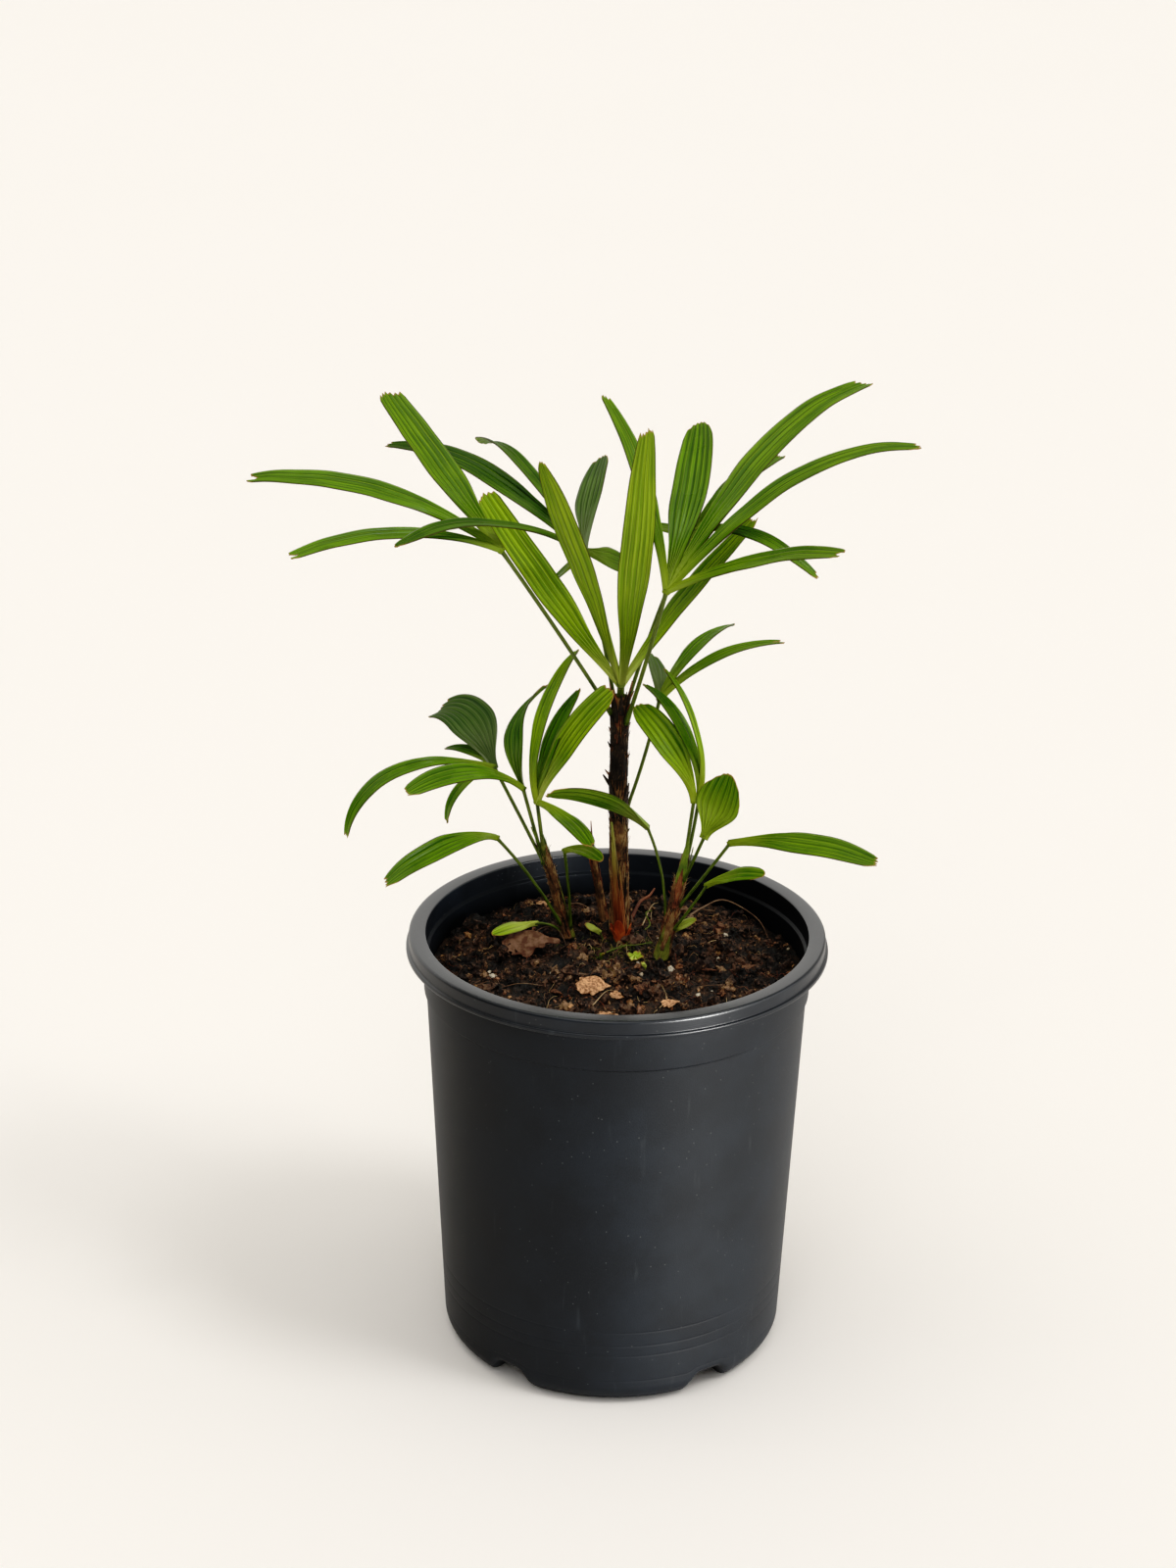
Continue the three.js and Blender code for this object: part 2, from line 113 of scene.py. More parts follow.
class Shape:
    """Gathers sheets, slabs and tubes into one mesh. Every face has a finish and a place in two UV maps."""

    def __init__(self):
        self.points = []
        self.faces = {3: [], 4: []}
        self.count = 0

    def add_points(self, points):
        flat = np.asarray(points, float).reshape(-1, 3)
        self.points.append(flat)
        self.count += len(flat)
        return self.count - len(flat)

    def add_faces(self, corners, strips, border, finish):
        corners = np.asarray(corners)
        finishes = np.broadcast_to(finish, len(corners))
        self.faces[corners.shape[1]].append((corners, strips, border, finishes))

    def sheet(self, points, uvs, finish=0, closed=False, border=None, flip=False, holes=None):
        """A grid of points. Closed joins its last column to the first, and UVs then have one more column."""
        rows, columns = np.shape(points)[:2]
        in_points, in_uvs = sheet_corners(rows, columns, closed)
        if holes is not None:
            in_points, in_uvs = in_points[~holes.ravel()], in_uvs[~holes.ravel()]
        if flip:
            in_points, in_uvs = in_points[:, ::-1], in_uvs[:, ::-1]
        strips = np.asarray(uvs, float).reshape(-1, 2)[in_uvs]
        second = strips if border is None else np.asarray(border, float).reshape(-1, 2)[in_uvs]
        start = self.add_points(points)
        self.add_faces(in_points + start, strips, second, finish)
        return start

    def fan(self, ring, centre, uv, finish=0, flip=False):
        """Closes a ring of point numbers with triangles to a centre point."""
        middle = self.add_points(centre)
        ring = np.asarray(ring)
        corners = np.stack([ring, np.roll(ring, -1), np.full(len(ring), middle)], axis=-1)
        if flip:
            corners = corners[:, ::-1]
        strips = np.broadcast_to(np.asarray(uv, float), (len(ring), 3, 2))
        self.add_faces(corners, strips, strips, finish)

    def slab(self, top, under, uvs, border, finishes):
        """A thin solid between two grids of points. The finishes are of its top, underside and edges."""
        rows, columns = np.shape(top)[:2]
        above = self.sheet(top, uvs, finishes[0], border=border)
        below = self.sheet(under, uvs, finishes[1], border=border, flip=True)
        numbers = np.arange(rows * columns).reshape(rows, columns)
        rim = np.concatenate(
            [numbers[:, 0], numbers[-1, 1:], numbers[-2::-1, -1], numbers[0, -2:0:-1]]
        )
        after = np.roll(rim, -1)
        corners = np.stack([above + rim, below + rim, below + after, above + after], axis=-1)
        # The ring runs the other way round than the top's own quads, so its corners are reversed.
        in_uvs = np.stack([rim, rim, after, after], axis=-1)
        flat_uvs = np.asarray(uvs, float).reshape(-1, 2)[in_uvs]
        flat_border = np.asarray(border, float).reshape(-1, 2)[in_uvs]
        self.add_faces(corners[:, ::-1], flat_uvs[:, ::-1], flat_border[:, ::-1], finishes[2])

    def tube(self, line, radius, sides, finish, bumps=None):
        """A closed tube round a line. Bumps are parts of the radius to add, for each point of each ring."""
        line = np.asarray(line, float)
        radius = np.broadcast_to(np.asarray(radius, float), len(line))
        forward = unit(np.gradient(line, axis=0))
        side = np.cross(forward, [0.0, 0.0, 1.0])
        small = np.linalg.norm(side, axis=1) < 0.2
        side[small] = np.cross(forward[small], [1.0, 0.3, 0.0])
        side = unit(side)
        for i in range(1, len(side)):
            side[i] = unit(side[i - 1] - forward[i] * (side[i - 1] @ forward[i]))
        up = np.cross(side, forward)
        angle = np.arange(sides) * FULL_TURN / sides
        ring = side[:, None] * np.cos(angle)[:, None] + up[:, None] * np.sin(angle)[:, None]
        reach = radius[:, None] if bumps is None else radius[:, None] * (1 + bumps)
        points = line[:, None] + ring * reach[..., None]
        length = np.concatenate([[0], np.cumsum(np.linalg.norm(np.diff(line, axis=0), axis=1))])
        around = np.linspace(0, FULL_TURN * float(radius.mean()), sides + 1)
        uvs = np.stack(np.meshgrid(around, length), axis=-1)
        start = self.sheet(points, uvs, finish, closed=True, flip=True)
        last = start + (len(line) - 1) * sides
        self.fan(start + np.arange(sides), line[0], uvs[0, 0], finish)
        self.fan(last + np.arange(sides), line[-1], uvs[-1, 0], finish, flip=True)

    def make(self, name, materials, sharp=None):
        """Turns what was gathered into a Blender object."""
        points = np.concatenate(self.points) * MM
        groups = [group for kind in (4, 3) for group in self.faces[kind]]
        sizes = np.concatenate([np.full(len(group[0]), group[0].shape[1]) for group in groups])
        corners = np.concatenate([group[0].ravel() for group in groups])
        mesh = bpy.data.meshes.new(name)
        mesh.vertices.add(len(points))
        mesh.vertices.foreach_set("co", points.ravel())
        mesh.loops.add(len(corners))
        mesh.loops.foreach_set("vertex_index", corners.astype(np.int32))
        mesh.polygons.add(len(sizes))
        starts = np.concatenate([[0], np.cumsum(sizes)[:-1]])
        mesh.polygons.foreach_set("loop_start", starts.astype(np.int32))
        finishes = np.concatenate([group[3] for group in groups])
        mesh.polygons.foreach_set("material_index", finishes.astype(np.int32))
        mesh.polygons.foreach_set("use_smooth", np.ones(len(sizes), bool))
        for place, title in ((1, "strips"), (2, "border")):
            layer = mesh.uv_layers.new(name=title)
            flat = np.concatenate([np.asarray(group[place], float).reshape(-1, 2) for group in groups])
            layer.uv.foreach_set("vector", flat.astype(np.float32).ravel())
        mesh.update(calc_edges=True)
        mesh.validate()
        if sharp is not None:
            mesh.set_sharp_from_angle(angle=math.radians(sharp))
        for material in materials:
            mesh.materials.append(material)
        made = bpy.data.objects.new(name, mesh)
        bpy.context.scene.collection.objects.link(made)
        return made


def hand_over(piece, slot, *nodes):
    """Every piece rides on the plant's one body, and hides the solids it stands for. Its slot, the name of
    its finish, is not used.
    """
    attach(piece, "root")
    if nodes:
        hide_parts(*nodes)


# ---- Materials ----------------------------------------------------------------------------------------


def srgb(code):
    """Linear colour, with alpha, of a hex code."""
    values = [int(code[i : i + 2], 16) / 255 for i in (1, 3, 5)]
    linear = [v / 12.92 if v <= 0.04045 else ((v + 0.055) / 1.055) ** 2.4 for v in values]
    return (*linear, 1.0)


def add_node(tree, kind, inputs=None, stops=None, **settings):
    """Adds a shader node with its settings and inputs, and the colours of a ramp as its stops.

    An input is a value, a hex colour, a socket, or another node, which gives its first live output.
    """
    made = tree.nodes.new("ShaderNode" + kind)
    for name, value in settings.items():
        setattr(made, name, value)
    for name, value in (inputs or {}).items():
        if isinstance(value, bpy.types.Node):
            value = next(socket for socket in value.outputs if socket.enabled)
        if isinstance(value, bpy.types.NodeSocket):
            tree.links.new(value, made.inputs[name])
        else:
            made.inputs[name].default_value = srgb(value) if isinstance(value, str) else value
    if stops:
        ramp = made.color_ramp
        while len(ramp.elements) < len(stops):
            ramp.elements.new(1.0)
        for element, (place, code) in zip(ramp.elements, stops):
            element.position = place
            element.color = srgb(code)
    return made


def new_material(name):
    material = bpy.data.materials.new(name)
    material.use_nodes = True
    material.node_tree.nodes.clear()
    return material, material.node_tree


# Settings of two kinds of node. A mix takes its part at socket 0, and its colours at 6 and 7. A map takes its
# value at 0, the span that it comes from at 1 and 2, and at 3 and 4 the span that it goes to, else 0 to 1.
IN_COLOUR = {"data_type": "RGBA"}
SOFT = {"interpolation_type": "SMOOTHSTEP"}


def lay_colours(tree, colour, layers):
    """Lays colours over a first one. Each comes in as its value goes from low to high, from least to most."""
    for value, low, high, least, most, over in layers:
        part = add_node(tree, "MapRange", {0: value, 1: low, 2: high, 3: least, 4: most}, **SOFT)
        colour = add_node(tree, "Mix", {0: part, 6: colour, 7: over}, **IN_COLOUR)
    return colour


def make_skin(tree, colour, rough, height, strength, depth, more=None):
    """A surface of this colour and roughness, with relief from a height, whose depth is in metres.

    More are other sockets of its shader.
    """
    bump = add_node(tree, "Bump", {"Strength": strength, "Distance": depth, "Height": height})
    inputs = {"Base Color": colour, "Roughness": rough, "Normal": bump, **(more or {})}
    return add_node(tree, "BsdfPrincipled", inputs)


LEAF_GLOW = 0.12  # the part of the light that shines through a leaf
LEAF_GLOW_COLOUR = "#b4d808"
LEAF_GLOW_TINT = 0.6  # how much of that colour the light takes up
# The troughs' darker colour is painted shade in the creases, and the same colour draws the fine dark stripes.
LEAF_SHADE_AND_STRIPE = 0.4  # how bright the troughs are, as a part of the dark stripes
LEAF_VEINS = 6.0  # to a fold
LEAF_RIB = (0.43, 0.5)  # where the rib begins and is full, between a trough at 0 and a crest at 0.5


def leaf_material(name, dark, light, rib, rough):
    """Palm leaf, grown: long ribs on the crests of its folds, finer veins between them, a waxy skin.

    The ribs are pale lines. The darker troughs between them are painted shade in the creases of the folds.
    The veins give a silky grain along the leaf, and the wax a soft shine that breaks up on the folds. The
    edge is a thin brown line, and the tips of the teeth are dry. Veins are 0.1 mm apart on the real leaf, and
    are drawn about 0.5 mm apart to show.
    """
    material, tree = new_material(name)
    strips = add_node(tree, "SeparateXYZ", {0: add_node(tree, "UVMap", uv_map="strips")})
    border = add_node(tree, "SeparateXYZ", {0: add_node(tree, "UVMap", uv_map="border")})
    across, along = strips.outputs[0], strips.outputs[1]
    from_side, from_tip = border.outputs[0], border.outputs[1]
    # Colour of the painted shade in the troughs, also used for the fine dark stripes.
    deep = (*(LEAF_SHADE_AND_STRIPE * value for value in srgb(dark)[:3]), 1.0)
    crest = add_node(tree, "Math", {0: across, 1: 0.5}, operation="PINGPONG")
    vein_place = add_node(tree, "Math", {0: across, 1: LEAF_VEINS}, operation="MULTIPLY")
    vein = add_node(tree, "Math", {0: vein_place, 1: 0.5}, operation="PINGPONG")
    # Stripes are noise drawn out along the leaf, broad ones and fine ones.
    far_along = add_node(tree, "Math", {0: along, 1: 0.012}, operation="MULTIPLY")
    stripe_place = add_node(tree, "CombineXYZ", {0: across, 1: far_along})
    stripe = add_node(tree, "TexNoise", {"Vector": stripe_place, "Scale": 1.7, "Detail": 2.0})
    line_place = add_node(tree, "VectorMath", {0: stripe_place, 1: (1.0, 0.2, 1.0)}, operation="MULTIPLY")
    fine_stripe = add_node(tree, "TexNoise", {"Vector": line_place, "Scale": 8.0, "Detail": 1.0})
    place = add_node(tree, "TexCoord").outputs["Object"]
    patch = add_node(tree, "TexNoise", {"Vector": place, "Scale": 45.0, "Detail": 2.0})
    green = lay_colours(tree, dark, [
        (patch, 0.38, 0.62, 0.25, 0.75, light),
        (stripe, 0.5, 0.62, 0.0, 0.8, light),
        (stripe, 0.48, 0.36, 0.0, 0.8, dark),
        (fine_stripe, 0.52, 0.66, 0.0, 0.6, deep),
        # The darker troughs are painted shade in the creases between the folds.
        (crest, 0.2, 0.03, 0.0, 0.7, deep),
        (along, 30.0, 2.0, 0.0, 0.6, rib),
        (crest, *LEAF_RIB, 0.0, 0.5, rib),
    ])
    at_margin = add_node(tree, "MapRange", {0: from_side, 1: 0.45, 2: 0.15, 4: 0.85}, **SOFT)
    past_hub = add_node(tree, "MapRange", {0: along, 1: 12.0, 2: 45.0}, **SOFT)
    brown = add_node(tree, "Math", {0: at_margin, 1: past_hub}, operation="MULTIPLY")
    edged = add_node(tree, "Mix", {0: brown, 6: green, 7: "#4a3512"}, **IN_COLOUR)
    wear = add_node(tree, "Math", {0: from_tip, 1: patch}, operation="ADD")
    colour = lay_colours(tree, edged, [(wear, 1.5, 0.75, 0.0, 0.9, "#b08a4e")])
    on_rib = add_node(tree, "MapRange", {0: crest, 1: LEAF_RIB[0], 2: LEAF_RIB[1]}, **SOFT)
    relief = add_node(tree, "Math", {0: vein, 1: on_rib}, operation="ADD")
    shine = add_node(tree, "MapRange", {0: patch, 1: 0.3, 2: 0.7, 3: rough - 0.06, 4: rough + 0.07}, **SOFT)
    skin = make_skin(tree, colour, shine, relief, 0.45, 0.00015, {"Specular IOR Level": 0.28})
    lit = add_node(tree, "Mix", {0: LEAF_GLOW_TINT, 6: colour, 7: LEAF_GLOW_COLOUR}, **IN_COLOUR)
    through = add_node(tree, "BsdfTranslucent", {"Color": lit})
    mixed = add_node(tree, "MixShader", {0: LEAF_GLOW, 1: skin, 2: through})
    add_node(tree, "OutputMaterial", {"Surface": mixed})
    return material


def drawn_streaks(tree, place, scale, detail, rough=0.5):
    """Noise drawn out along the way that its scale is least."""
    drawn = add_node(tree, "Mapping", {"Vector": place, "Scale": scale})
    return add_node(tree, "TexNoise", {"Vector": drawn, "Scale": 1.0, "Detail": detail, "Roughness": rough})


def stalk_material(name, dark, light):
    """Leaf stalk, grown: smooth waxy green with faint lengthwise streaks."""
    material, tree = new_material(name)
    streak = drawn_streaks(tree, add_node(tree, "UVMap", uv_map="strips"), (3.0, 0.12, 1.0), 3.0)
    colour = lay_colours(tree, dark, [(streak, 0.35, 0.65, 0.0, 1.0, light)])
    skin = make_skin(tree, colour, 0.38, streak, 0.3, 0.0002, {"IOR": 1.45})
    add_node(tree, "OutputMaterial", {"Surface": skin})
    return material


def fibre_material(name, dark, mid, light, rough):
    """Dry leaf-base fibre, grown: matted strands whose streaks run along the cane, dull and broken."""
    material, tree = new_material(name)
    streak = drawn_streaks(tree, add_node(tree, "UVMap", uv_map="strips"), (2.2, 0.25, 1.0), 6.0, 0.7)
    place = add_node(tree, "TexCoord").outputs["Object"]
    patch = add_node(tree, "TexNoise", {"Vector": place, "Scale": 160.0, "Detail": 3.0})
    fibre = add_node(tree, "ValToRGB", {0: streak}, stops=[(0.3, dark), (0.55, mid), (0.75, light)])
    colour = lay_colours(tree, fibre, [(patch, 0.4, 0.65, 0.0, 0.7, dark)])
    skin = make_skin(tree, colour, rough, streak, 0.7, 0.0005)
    add_node(tree, "OutputMaterial", {"Surface": skin})
    return material


SPEAR_LENGTH = 64.0  # from its foot to where it is green all round
SPEAR_COLOURS = [
    (0.0, "#5a2a16"),
    (0.2, "#84421f"),
    (0.4, "#8f5527"),
    (0.54, "#8c6430"),
    (0.68, "#97853a"),
    (0.86, "#a9a848"),
    (1.0, "#7d8a30"),
]


def spear_material():
    """Furled leaf sheath, grown: green at the tip, straw below, red-brown at the foot, finely ribbed."""
    material, tree = new_material("furled_sheath")
    strips = add_node(tree, "UVMap", uv_map="strips")
    streak = drawn_streaks(tree, strips, (2.6, 0.05, 1.0), 4.0)
    height = add_node(tree, "SeparateXYZ", {0: strips}).outputs[1]
    shift = add_node(tree, "MapRange", {0: streak, 1: 0.3, 2: 0.7, 3: -7.0, 4: 7.0}, **SOFT)
    place = add_node(tree, "Math", {0: height, 1: shift}, operation="ADD")
    part = add_node(tree, "MapRange", {0: place, 1: 0.0, 2: SPEAR_LENGTH})
    ramp = add_node(tree, "ValToRGB", {0: part}, stops=SPEAR_COLOURS)
    layers = [(streak, 0.47, 0.36, 0.0, 0.85, "#2e1208"), (streak, 0.54, 0.66, 0.0, 0.6, "#d8a468")]
    skin = make_skin(tree, lay_colours(tree, ramp, layers), 0.45, streak, 0.5, 0.0003)
    add_node(tree, "OutputMaterial", {"Surface": skin})
    return material


def cane_palette():
    return {
        "core": fibre_material("dry_leaf_base", "#2c1a0c", "#a07a50", "#e2c496", 0.8),
        "dark": fibre_material("dark_fibre", "#0e0805", "#3a281b", "#a08a70", 0.7),
        "red": fibre_material("red_brown_fibre", "#4a2412", "#a2643f", "#dba67a", 0.65),
        "pale": fibre_material("straw_fibre", "#7c6142", "#c4a980", "#eedcb8", 0.6),
        "green": fibre_material("green_sheath", "#45600c", "#86a02a", "#b9c45c", 0.4),
        "olive": fibre_material("olive_sheath", "#3f4812", "#82863a", "#b4b268", 0.5),
        "bract": fibre_material("papery_bract", "#9c441c", "#d6743a", "#f2ae74", 0.5),
        "spear": spear_material(),
    }


def crumb_material(name, dark, light, rough=0.62):
    """Potting mix, damp peat and bark fines: dark rough grains with small wet glints."""
    material, tree = new_material(name)
    place = add_node(tree, "TexCoord").outputs["Object"]
    grain = add_node(tree, "TexNoise", {"Vector": place, "Scale": 700.0, "Detail": 6.0, "Roughness": 0.7})
    patch = add_node(tree, "TexNoise", {"Vector": place, "Scale": 90.0, "Detail": 3.0})
    both = add_node(tree, "Math", {0: grain, 1: patch}, operation="MULTIPLY")
    colour = lay_colours(tree, dark, [(both, 0.2, 0.34, 0.0, 1.0, light)])
    wet = add_node(tree, "MapRange", {0: grain, 1: 0.45, 2: 0.65, 3: rough, 4: rough - 0.25}, **SOFT)
    skin = make_skin(tree, colour, wet, grain, 1.0, 0.0007)
    add_node(tree, "OutputMaterial", {"Surface": skin})
    return material


def pot_material(name, rough, gloss):
    """Polypropylene with carbon black, injection moulded: a satin charcoal skin with fine pits and scuffs.

    The mould's blasted texture gives the wall a dull broad shine. The rim, rubbed smooth in the stack, shines
    more. The inside is a copy that shines least, which darkens it as painted shade. The grain is about 0.1
    mm, drawn at 0.5 mm to show.
    """
    material, tree = new_material(name)
    place = add_node(tree, "TexCoord").outputs["Object"]
    grain = add_node(tree, "TexNoise", {"Vector": place, "Scale": 1800.0, "Detail": 2.0})
    cloud = add_node(tree, "TexNoise", {"Vector": place, "Scale": 28.0, "Detail": 5.0, "Roughness": 0.6})
    scuff = drawn_streaks(tree, place, (220.0, 220.0, 30.0), 3.0)
    speck = add_node(tree, "TexVoronoi", {"Vector": place, "Scale": 210.0})
    colour = lay_colours(tree, "#0d1014", [
        (cloud, 0.35, 0.7, 0.0, 1.0, "#11151a"),
        (scuff, 0.64, 0.8, 0.0, 0.14, "#3c4042"),
        (speck, 0.085, 0.05, 0.0, 0.2, "#6c6e6c"),
    ])
    spread = {0: cloud, 1: 0.3, 2: 0.7, 3: rough - 0.015, 4: rough + 0.015}
    shine = add_node(tree, "MapRange", spread, **SOFT)
    skin = make_skin(tree, colour, shine, grain, 0.25, 0.00015, {"Specular IOR Level": gloss})
    add_node(tree, "OutputMaterial", {"Surface": skin})
    return material


def bark_material(name, dark, light, grain_size):
    """Pine bark, torn: corky, dull, with a short mottled grain."""
    material, tree = new_material(name)
    place = add_node(tree, "TexCoord").outputs["Object"]
    scale = 1 / (grain_size * MM)
    grain = add_node(tree, "TexNoise", {"Vector": place, "Scale": scale, "Detail": 5.0, "Roughness": 0.65})
    colour = lay_colours(tree, dark, [(grain, 0.38, 0.62, 0.0, 1.0, light)])
    skin = make_skin(tree, colour, 0.78, grain, 0.8, 0.0005)
    add_node(tree, "OutputMaterial", {"Surface": skin})
    return material


# ---- Camera, light and floor --------------------------------------------------------------------------

CAMERA_PLACE = (-0.01562, -1.39108, 0.86375)
CAMERA_DOWN = math.radians(21.969)
CAMERA_ROLL = math.radians(0.702)
CAMERA_LENS = 69.69  # on a 36 mm long side

# Lamps: bearing from the front towards +X, height above the level and softness, in degrees, then strength.
LAMPS = {
    "key_light": (66, 55, 16, 0.72),
    "side_light": (80, 12, 56, 0.75),
    "fill_light": (-50, 64, 56, 0.56),
    "top_light": (20, 80, 50, 0.24),
    "front_light": (-8, 38, 40, 0.55),
}
# Low cards that shine on the pot alone.
POT_LAMPS = {
    "pot_light": (44, 8, 24, 8.5),
    "pot_back_light": (205, 14, 90, 1.7),
}
ROOM_COLOUR = "#fcf7ee"
ROOM_BRIGHT_SIDE = (0.25, 0.85, 0.5)  # the white studio is brightest here, and dark round the camera
ROOM_EDGE = (-0.45, 0.35)  # where the dark turns to bright, as cosines of the angle from that side
ROOM_STRENGTHS = (0.05, 0.62)  # in the dark and in the bright
ROOM_SEEN = 1.0  # how bright its wall shows over the floor's edge
TONE_CURVE = [(0.0, 0.0), (0.03, 0.012), (0.08, 0.062), (0.25, 0.24), (0.6, 0.62), (1.0, 1.0)]
FLOOR_REACH = 15000  # so far that its edge lies near the horizon


def make_camera():
    lens = bpy.data.cameras.new("camera")
    lens.lens = CAMERA_LENS
    lens.sensor_width = 36
    lens.clip_end = 100
    camera = bpy.data.objects.new("camera", lens)
    forward = Vector((0, math.cos(CAMERA_DOWN), -math.sin(CAMERA_DOWN)))
    level_up = Vector((0, math.sin(CAMERA_DOWN), math.cos(CAMERA_DOWN)))
    right = math.cos(CAMERA_ROLL) * Vector((1, 0, 0)) + math.sin(CAMERA_ROLL) * level_up
    up = -math.sin(CAMERA_ROLL) * Vector((1, 0, 0)) + math.cos(CAMERA_ROLL) * level_up
    axes = Matrix((right, up, -forward)).transposed().to_4x4()
    camera.matrix_world = Matrix.Translation(CAMERA_PLACE) @ axes
    bpy.context.scene.collection.objects.link(camera)
    bpy.context.scene.camera = camera


def make_lamp(name, bearing, height, softness, strength, only=None):
    """A soft lamp far away. Only names one piece that it falls on, and without it the lamp falls on all."""
    lamp = bpy.data.lights.new(name, "SUN")
    lamp.angle = math.radians(softness)
    lamp.energy = strength
    lamp.color = srgb("#fffefc")[:3]
    placed = bpy.data.objects.new(name, lamp)
    bearing, height = math.radians(bearing), math.radians(height)
    level = math.cos(height)
    towards_lamp = Vector((math.sin(bearing) * level, -math.cos(bearing) * level, math.sin(height)))
    placed.rotation_euler = towards_lamp.to_track_quat("Z", "Y").to_euler()
    bpy.context.scene.collection.objects.link(placed)
    if only is not None:
        lit = bpy.data.collections.new(name + "_falls_on")
        lit.objects.link(only)
        placed.light_linking.receiver_collection = lit


def make_room():
    """A white studio, bright behind the plant and on its right, dark in front. It shows as a plain wall."""
    world = bpy.data.worlds.new("room")
    world.use_nodes = True
    tree = world.node_tree
    tree.nodes.clear()
    way = add_node(tree, "TexCoord").outputs["Generated"]
    bright = tuple(unit(ROOM_BRIGHT_SIDE))
    towards = add_node(tree, "VectorMath", {0: way, 1: bright}, operation="DOT_PRODUCT")
    spans = dict(enumerate([towards, *ROOM_EDGE, *ROOM_STRENGTHS]))
    strength = add_node(tree, "MapRange", spans, **SOFT)
    room = add_node(tree, "Background", {"Color": ROOM_COLOUR, "Strength": strength})
    wall = add_node(tree, "Background", {"Color": ROOM_COLOUR, "Strength": ROOM_SEEN})
    is_seen = add_node(tree, "LightPath").outputs["Is Camera Ray"]
    both = add_node(tree, "MixShader", {0: is_seen, 1: room, 2: wall})
    add_node(tree, "OutputWorld", {"Surface": both})
    bpy.context.scene.world = world


def set_tones():
    """Straight colours with a camera's darker toe."""
    view = bpy.context.scene.view_settings
    view.view_transform = "Standard"
    view.use_curve_mapping = True
    curve = view.curve_mapping.curves[3]
    curve.points[0].location, curve.points[-1].location = TONE_CURVE[0], TONE_CURVE[-1]
    for place, tone in TONE_CURVE[1:-1]:
        curve.points.new(place, tone)
    view.curve_mapping.update()


def make_floor():
    """Board, painted matt white: even and without shine."""
    shape = Shape()
    reach = np.linspace(-FLOOR_REACH, FLOOR_REACH, 5)
    across, along = np.meshgrid(reach, reach)
    points = np.stack([across, along, np.zeros_like(across)], axis=-1)
    shape.sheet(points, points[..., :2])
    material, tree = new_material("matte_painted_board")
    place = add_node(tree, "TexCoord").outputs["Object"]
    cloud = add_node(tree, "TexNoise", {"Vector": place, "Scale": 1.5, "Detail": 2.0})
    colour = add_node(tree, "Mix", {0: cloud, 6: "#f6f3ef", 7: "#f7f4f1"}, **IN_COLOUR)
    skin = add_node(tree, "BsdfPrincipled", {"Base Color": colour, "Roughness": 0.9})
    add_node(tree, "OutputMaterial", {"Surface": skin})
    floor = shape.make("floor", [material])


# ---- Pot ----------------------------------------------------------------------------------------------

TURN_STEPS = 320  # divides by the number of notches, so that they come out alike

POT_HEIGHT = 224
POT_WALL = 1.5
WALL_STEP = 12.0  # longest step up the inside of the wall
POT_BASE_THICKNESS = 2
POT_BASE_RADIUS = 87.3  # outer wall carried down to the floor
POT_CORNER = 10.6
POT_STEP_HEIGHT = 193
POT_STEP_RISE = 1
POT_STEP_RADII = (96.2, 97.4)
POT_COLLAR_RADIUS = 98.2
RIM_OPENING = 96.3
RIM_RADIUS = 105
RIM_BEAD_RADIUS = 106.3
RIM_BEAD_HEIGHT = 2.4
RIM_DEPTH = 9
RIM_PLATE = 1.8
RIM_SKIRT = 1.6
LEDGE_DROP = 11
LEDGE_RADIUS = 94.6
# Height, depth and half width of the faint grooves round the wall. The lowest is the lip over the foot.
POT_GROOVES = [(3.4, 0.45, 0.55), (14, 0.07, 0.5), (29, 0.1, 0.5), (35, 0.1, 0.5), (43, 0.1, 0.5)]

NOTCH_COUNT = 5
NOTCH_FIRST = math.radians(-37.4)  # from the front, positive towards +X
NOTCH_HALF_WIDTH = 14
NOTCH_HEIGHT = 9
NOTCH_SHOULDER = 0.6  # part of the half width in which each side of the arch rises
NOTCH_INNER = (60, 68)  # the vault closes between these radii
NOTCH_FADE = 18  # height over which the wall takes up the notch
SLOT_EDGES = (68, 72)  # radii between which each drainage slot lies, in the roof of a notch
SLOT_COLUMNS = 4  # to each side of its middle, 1.4 mm apart


def rounded(corners, steps=5):
    """An outline with its corners rounded. Each corner is a radius from the axis, a height and a rounding."""
    line = []
    for i, (radius, height, rounding) in enumerate(corners):
        here = np.array([radius, height], float)
        if rounding == 0:
            line.append(here)
            continue
        before = np.array(corners[i - 1][:2], float) - here
        after = np.array(corners[i + 1][:2], float) - here
        turn = math.acos(np.dot(unit(before), unit(after)))
        reach = rounding / math.tan(turn / 2)
        reach = min(reach, 0.49 * np.linalg.norm(before), 0.49 * np.linalg.norm(after))
        start, end = here + unit(before) * reach, here + unit(after) * reach
        count = steps if rounding < 5 else 3 * steps
        for part in np.linspace(0, 1, count):
            line.append((1 - part) ** 2 * start + 2 * part * (1 - part) * here + part**2 * end)
    return np.array(line)


def wall_radius(height):
    return lerp(POT_BASE_RADIUS, POT_STEP_RADII[0], height / POT_STEP_HEIGHT)


def foot_corner(offset, steps=14):
    """The quarter round at the pot's foot, at an offset inside the outer wall, from the underside up."""
    angle = np.linspace(0, math.pi / 2, steps)
    centre = wall_radius(POT_CORNER) - POT_CORNER
    radius = POT_CORNER - offset
    return np.stack([centre + radius * np.sin(angle), POT_CORNER - radius * np.cos(angle)], axis=-1)


def spaced(line, longest):
    """Adds points to an outline so that no step is longer than this."""
    points = [line[0]]
    for start, end in zip(line[:-1], line[1:]):
        count = max(1, math.ceil(np.linalg.norm(end - start) / longest))
        points += [lerp(start, end, (i + 1) / count) for i in range(count)]
    return np.array(points)


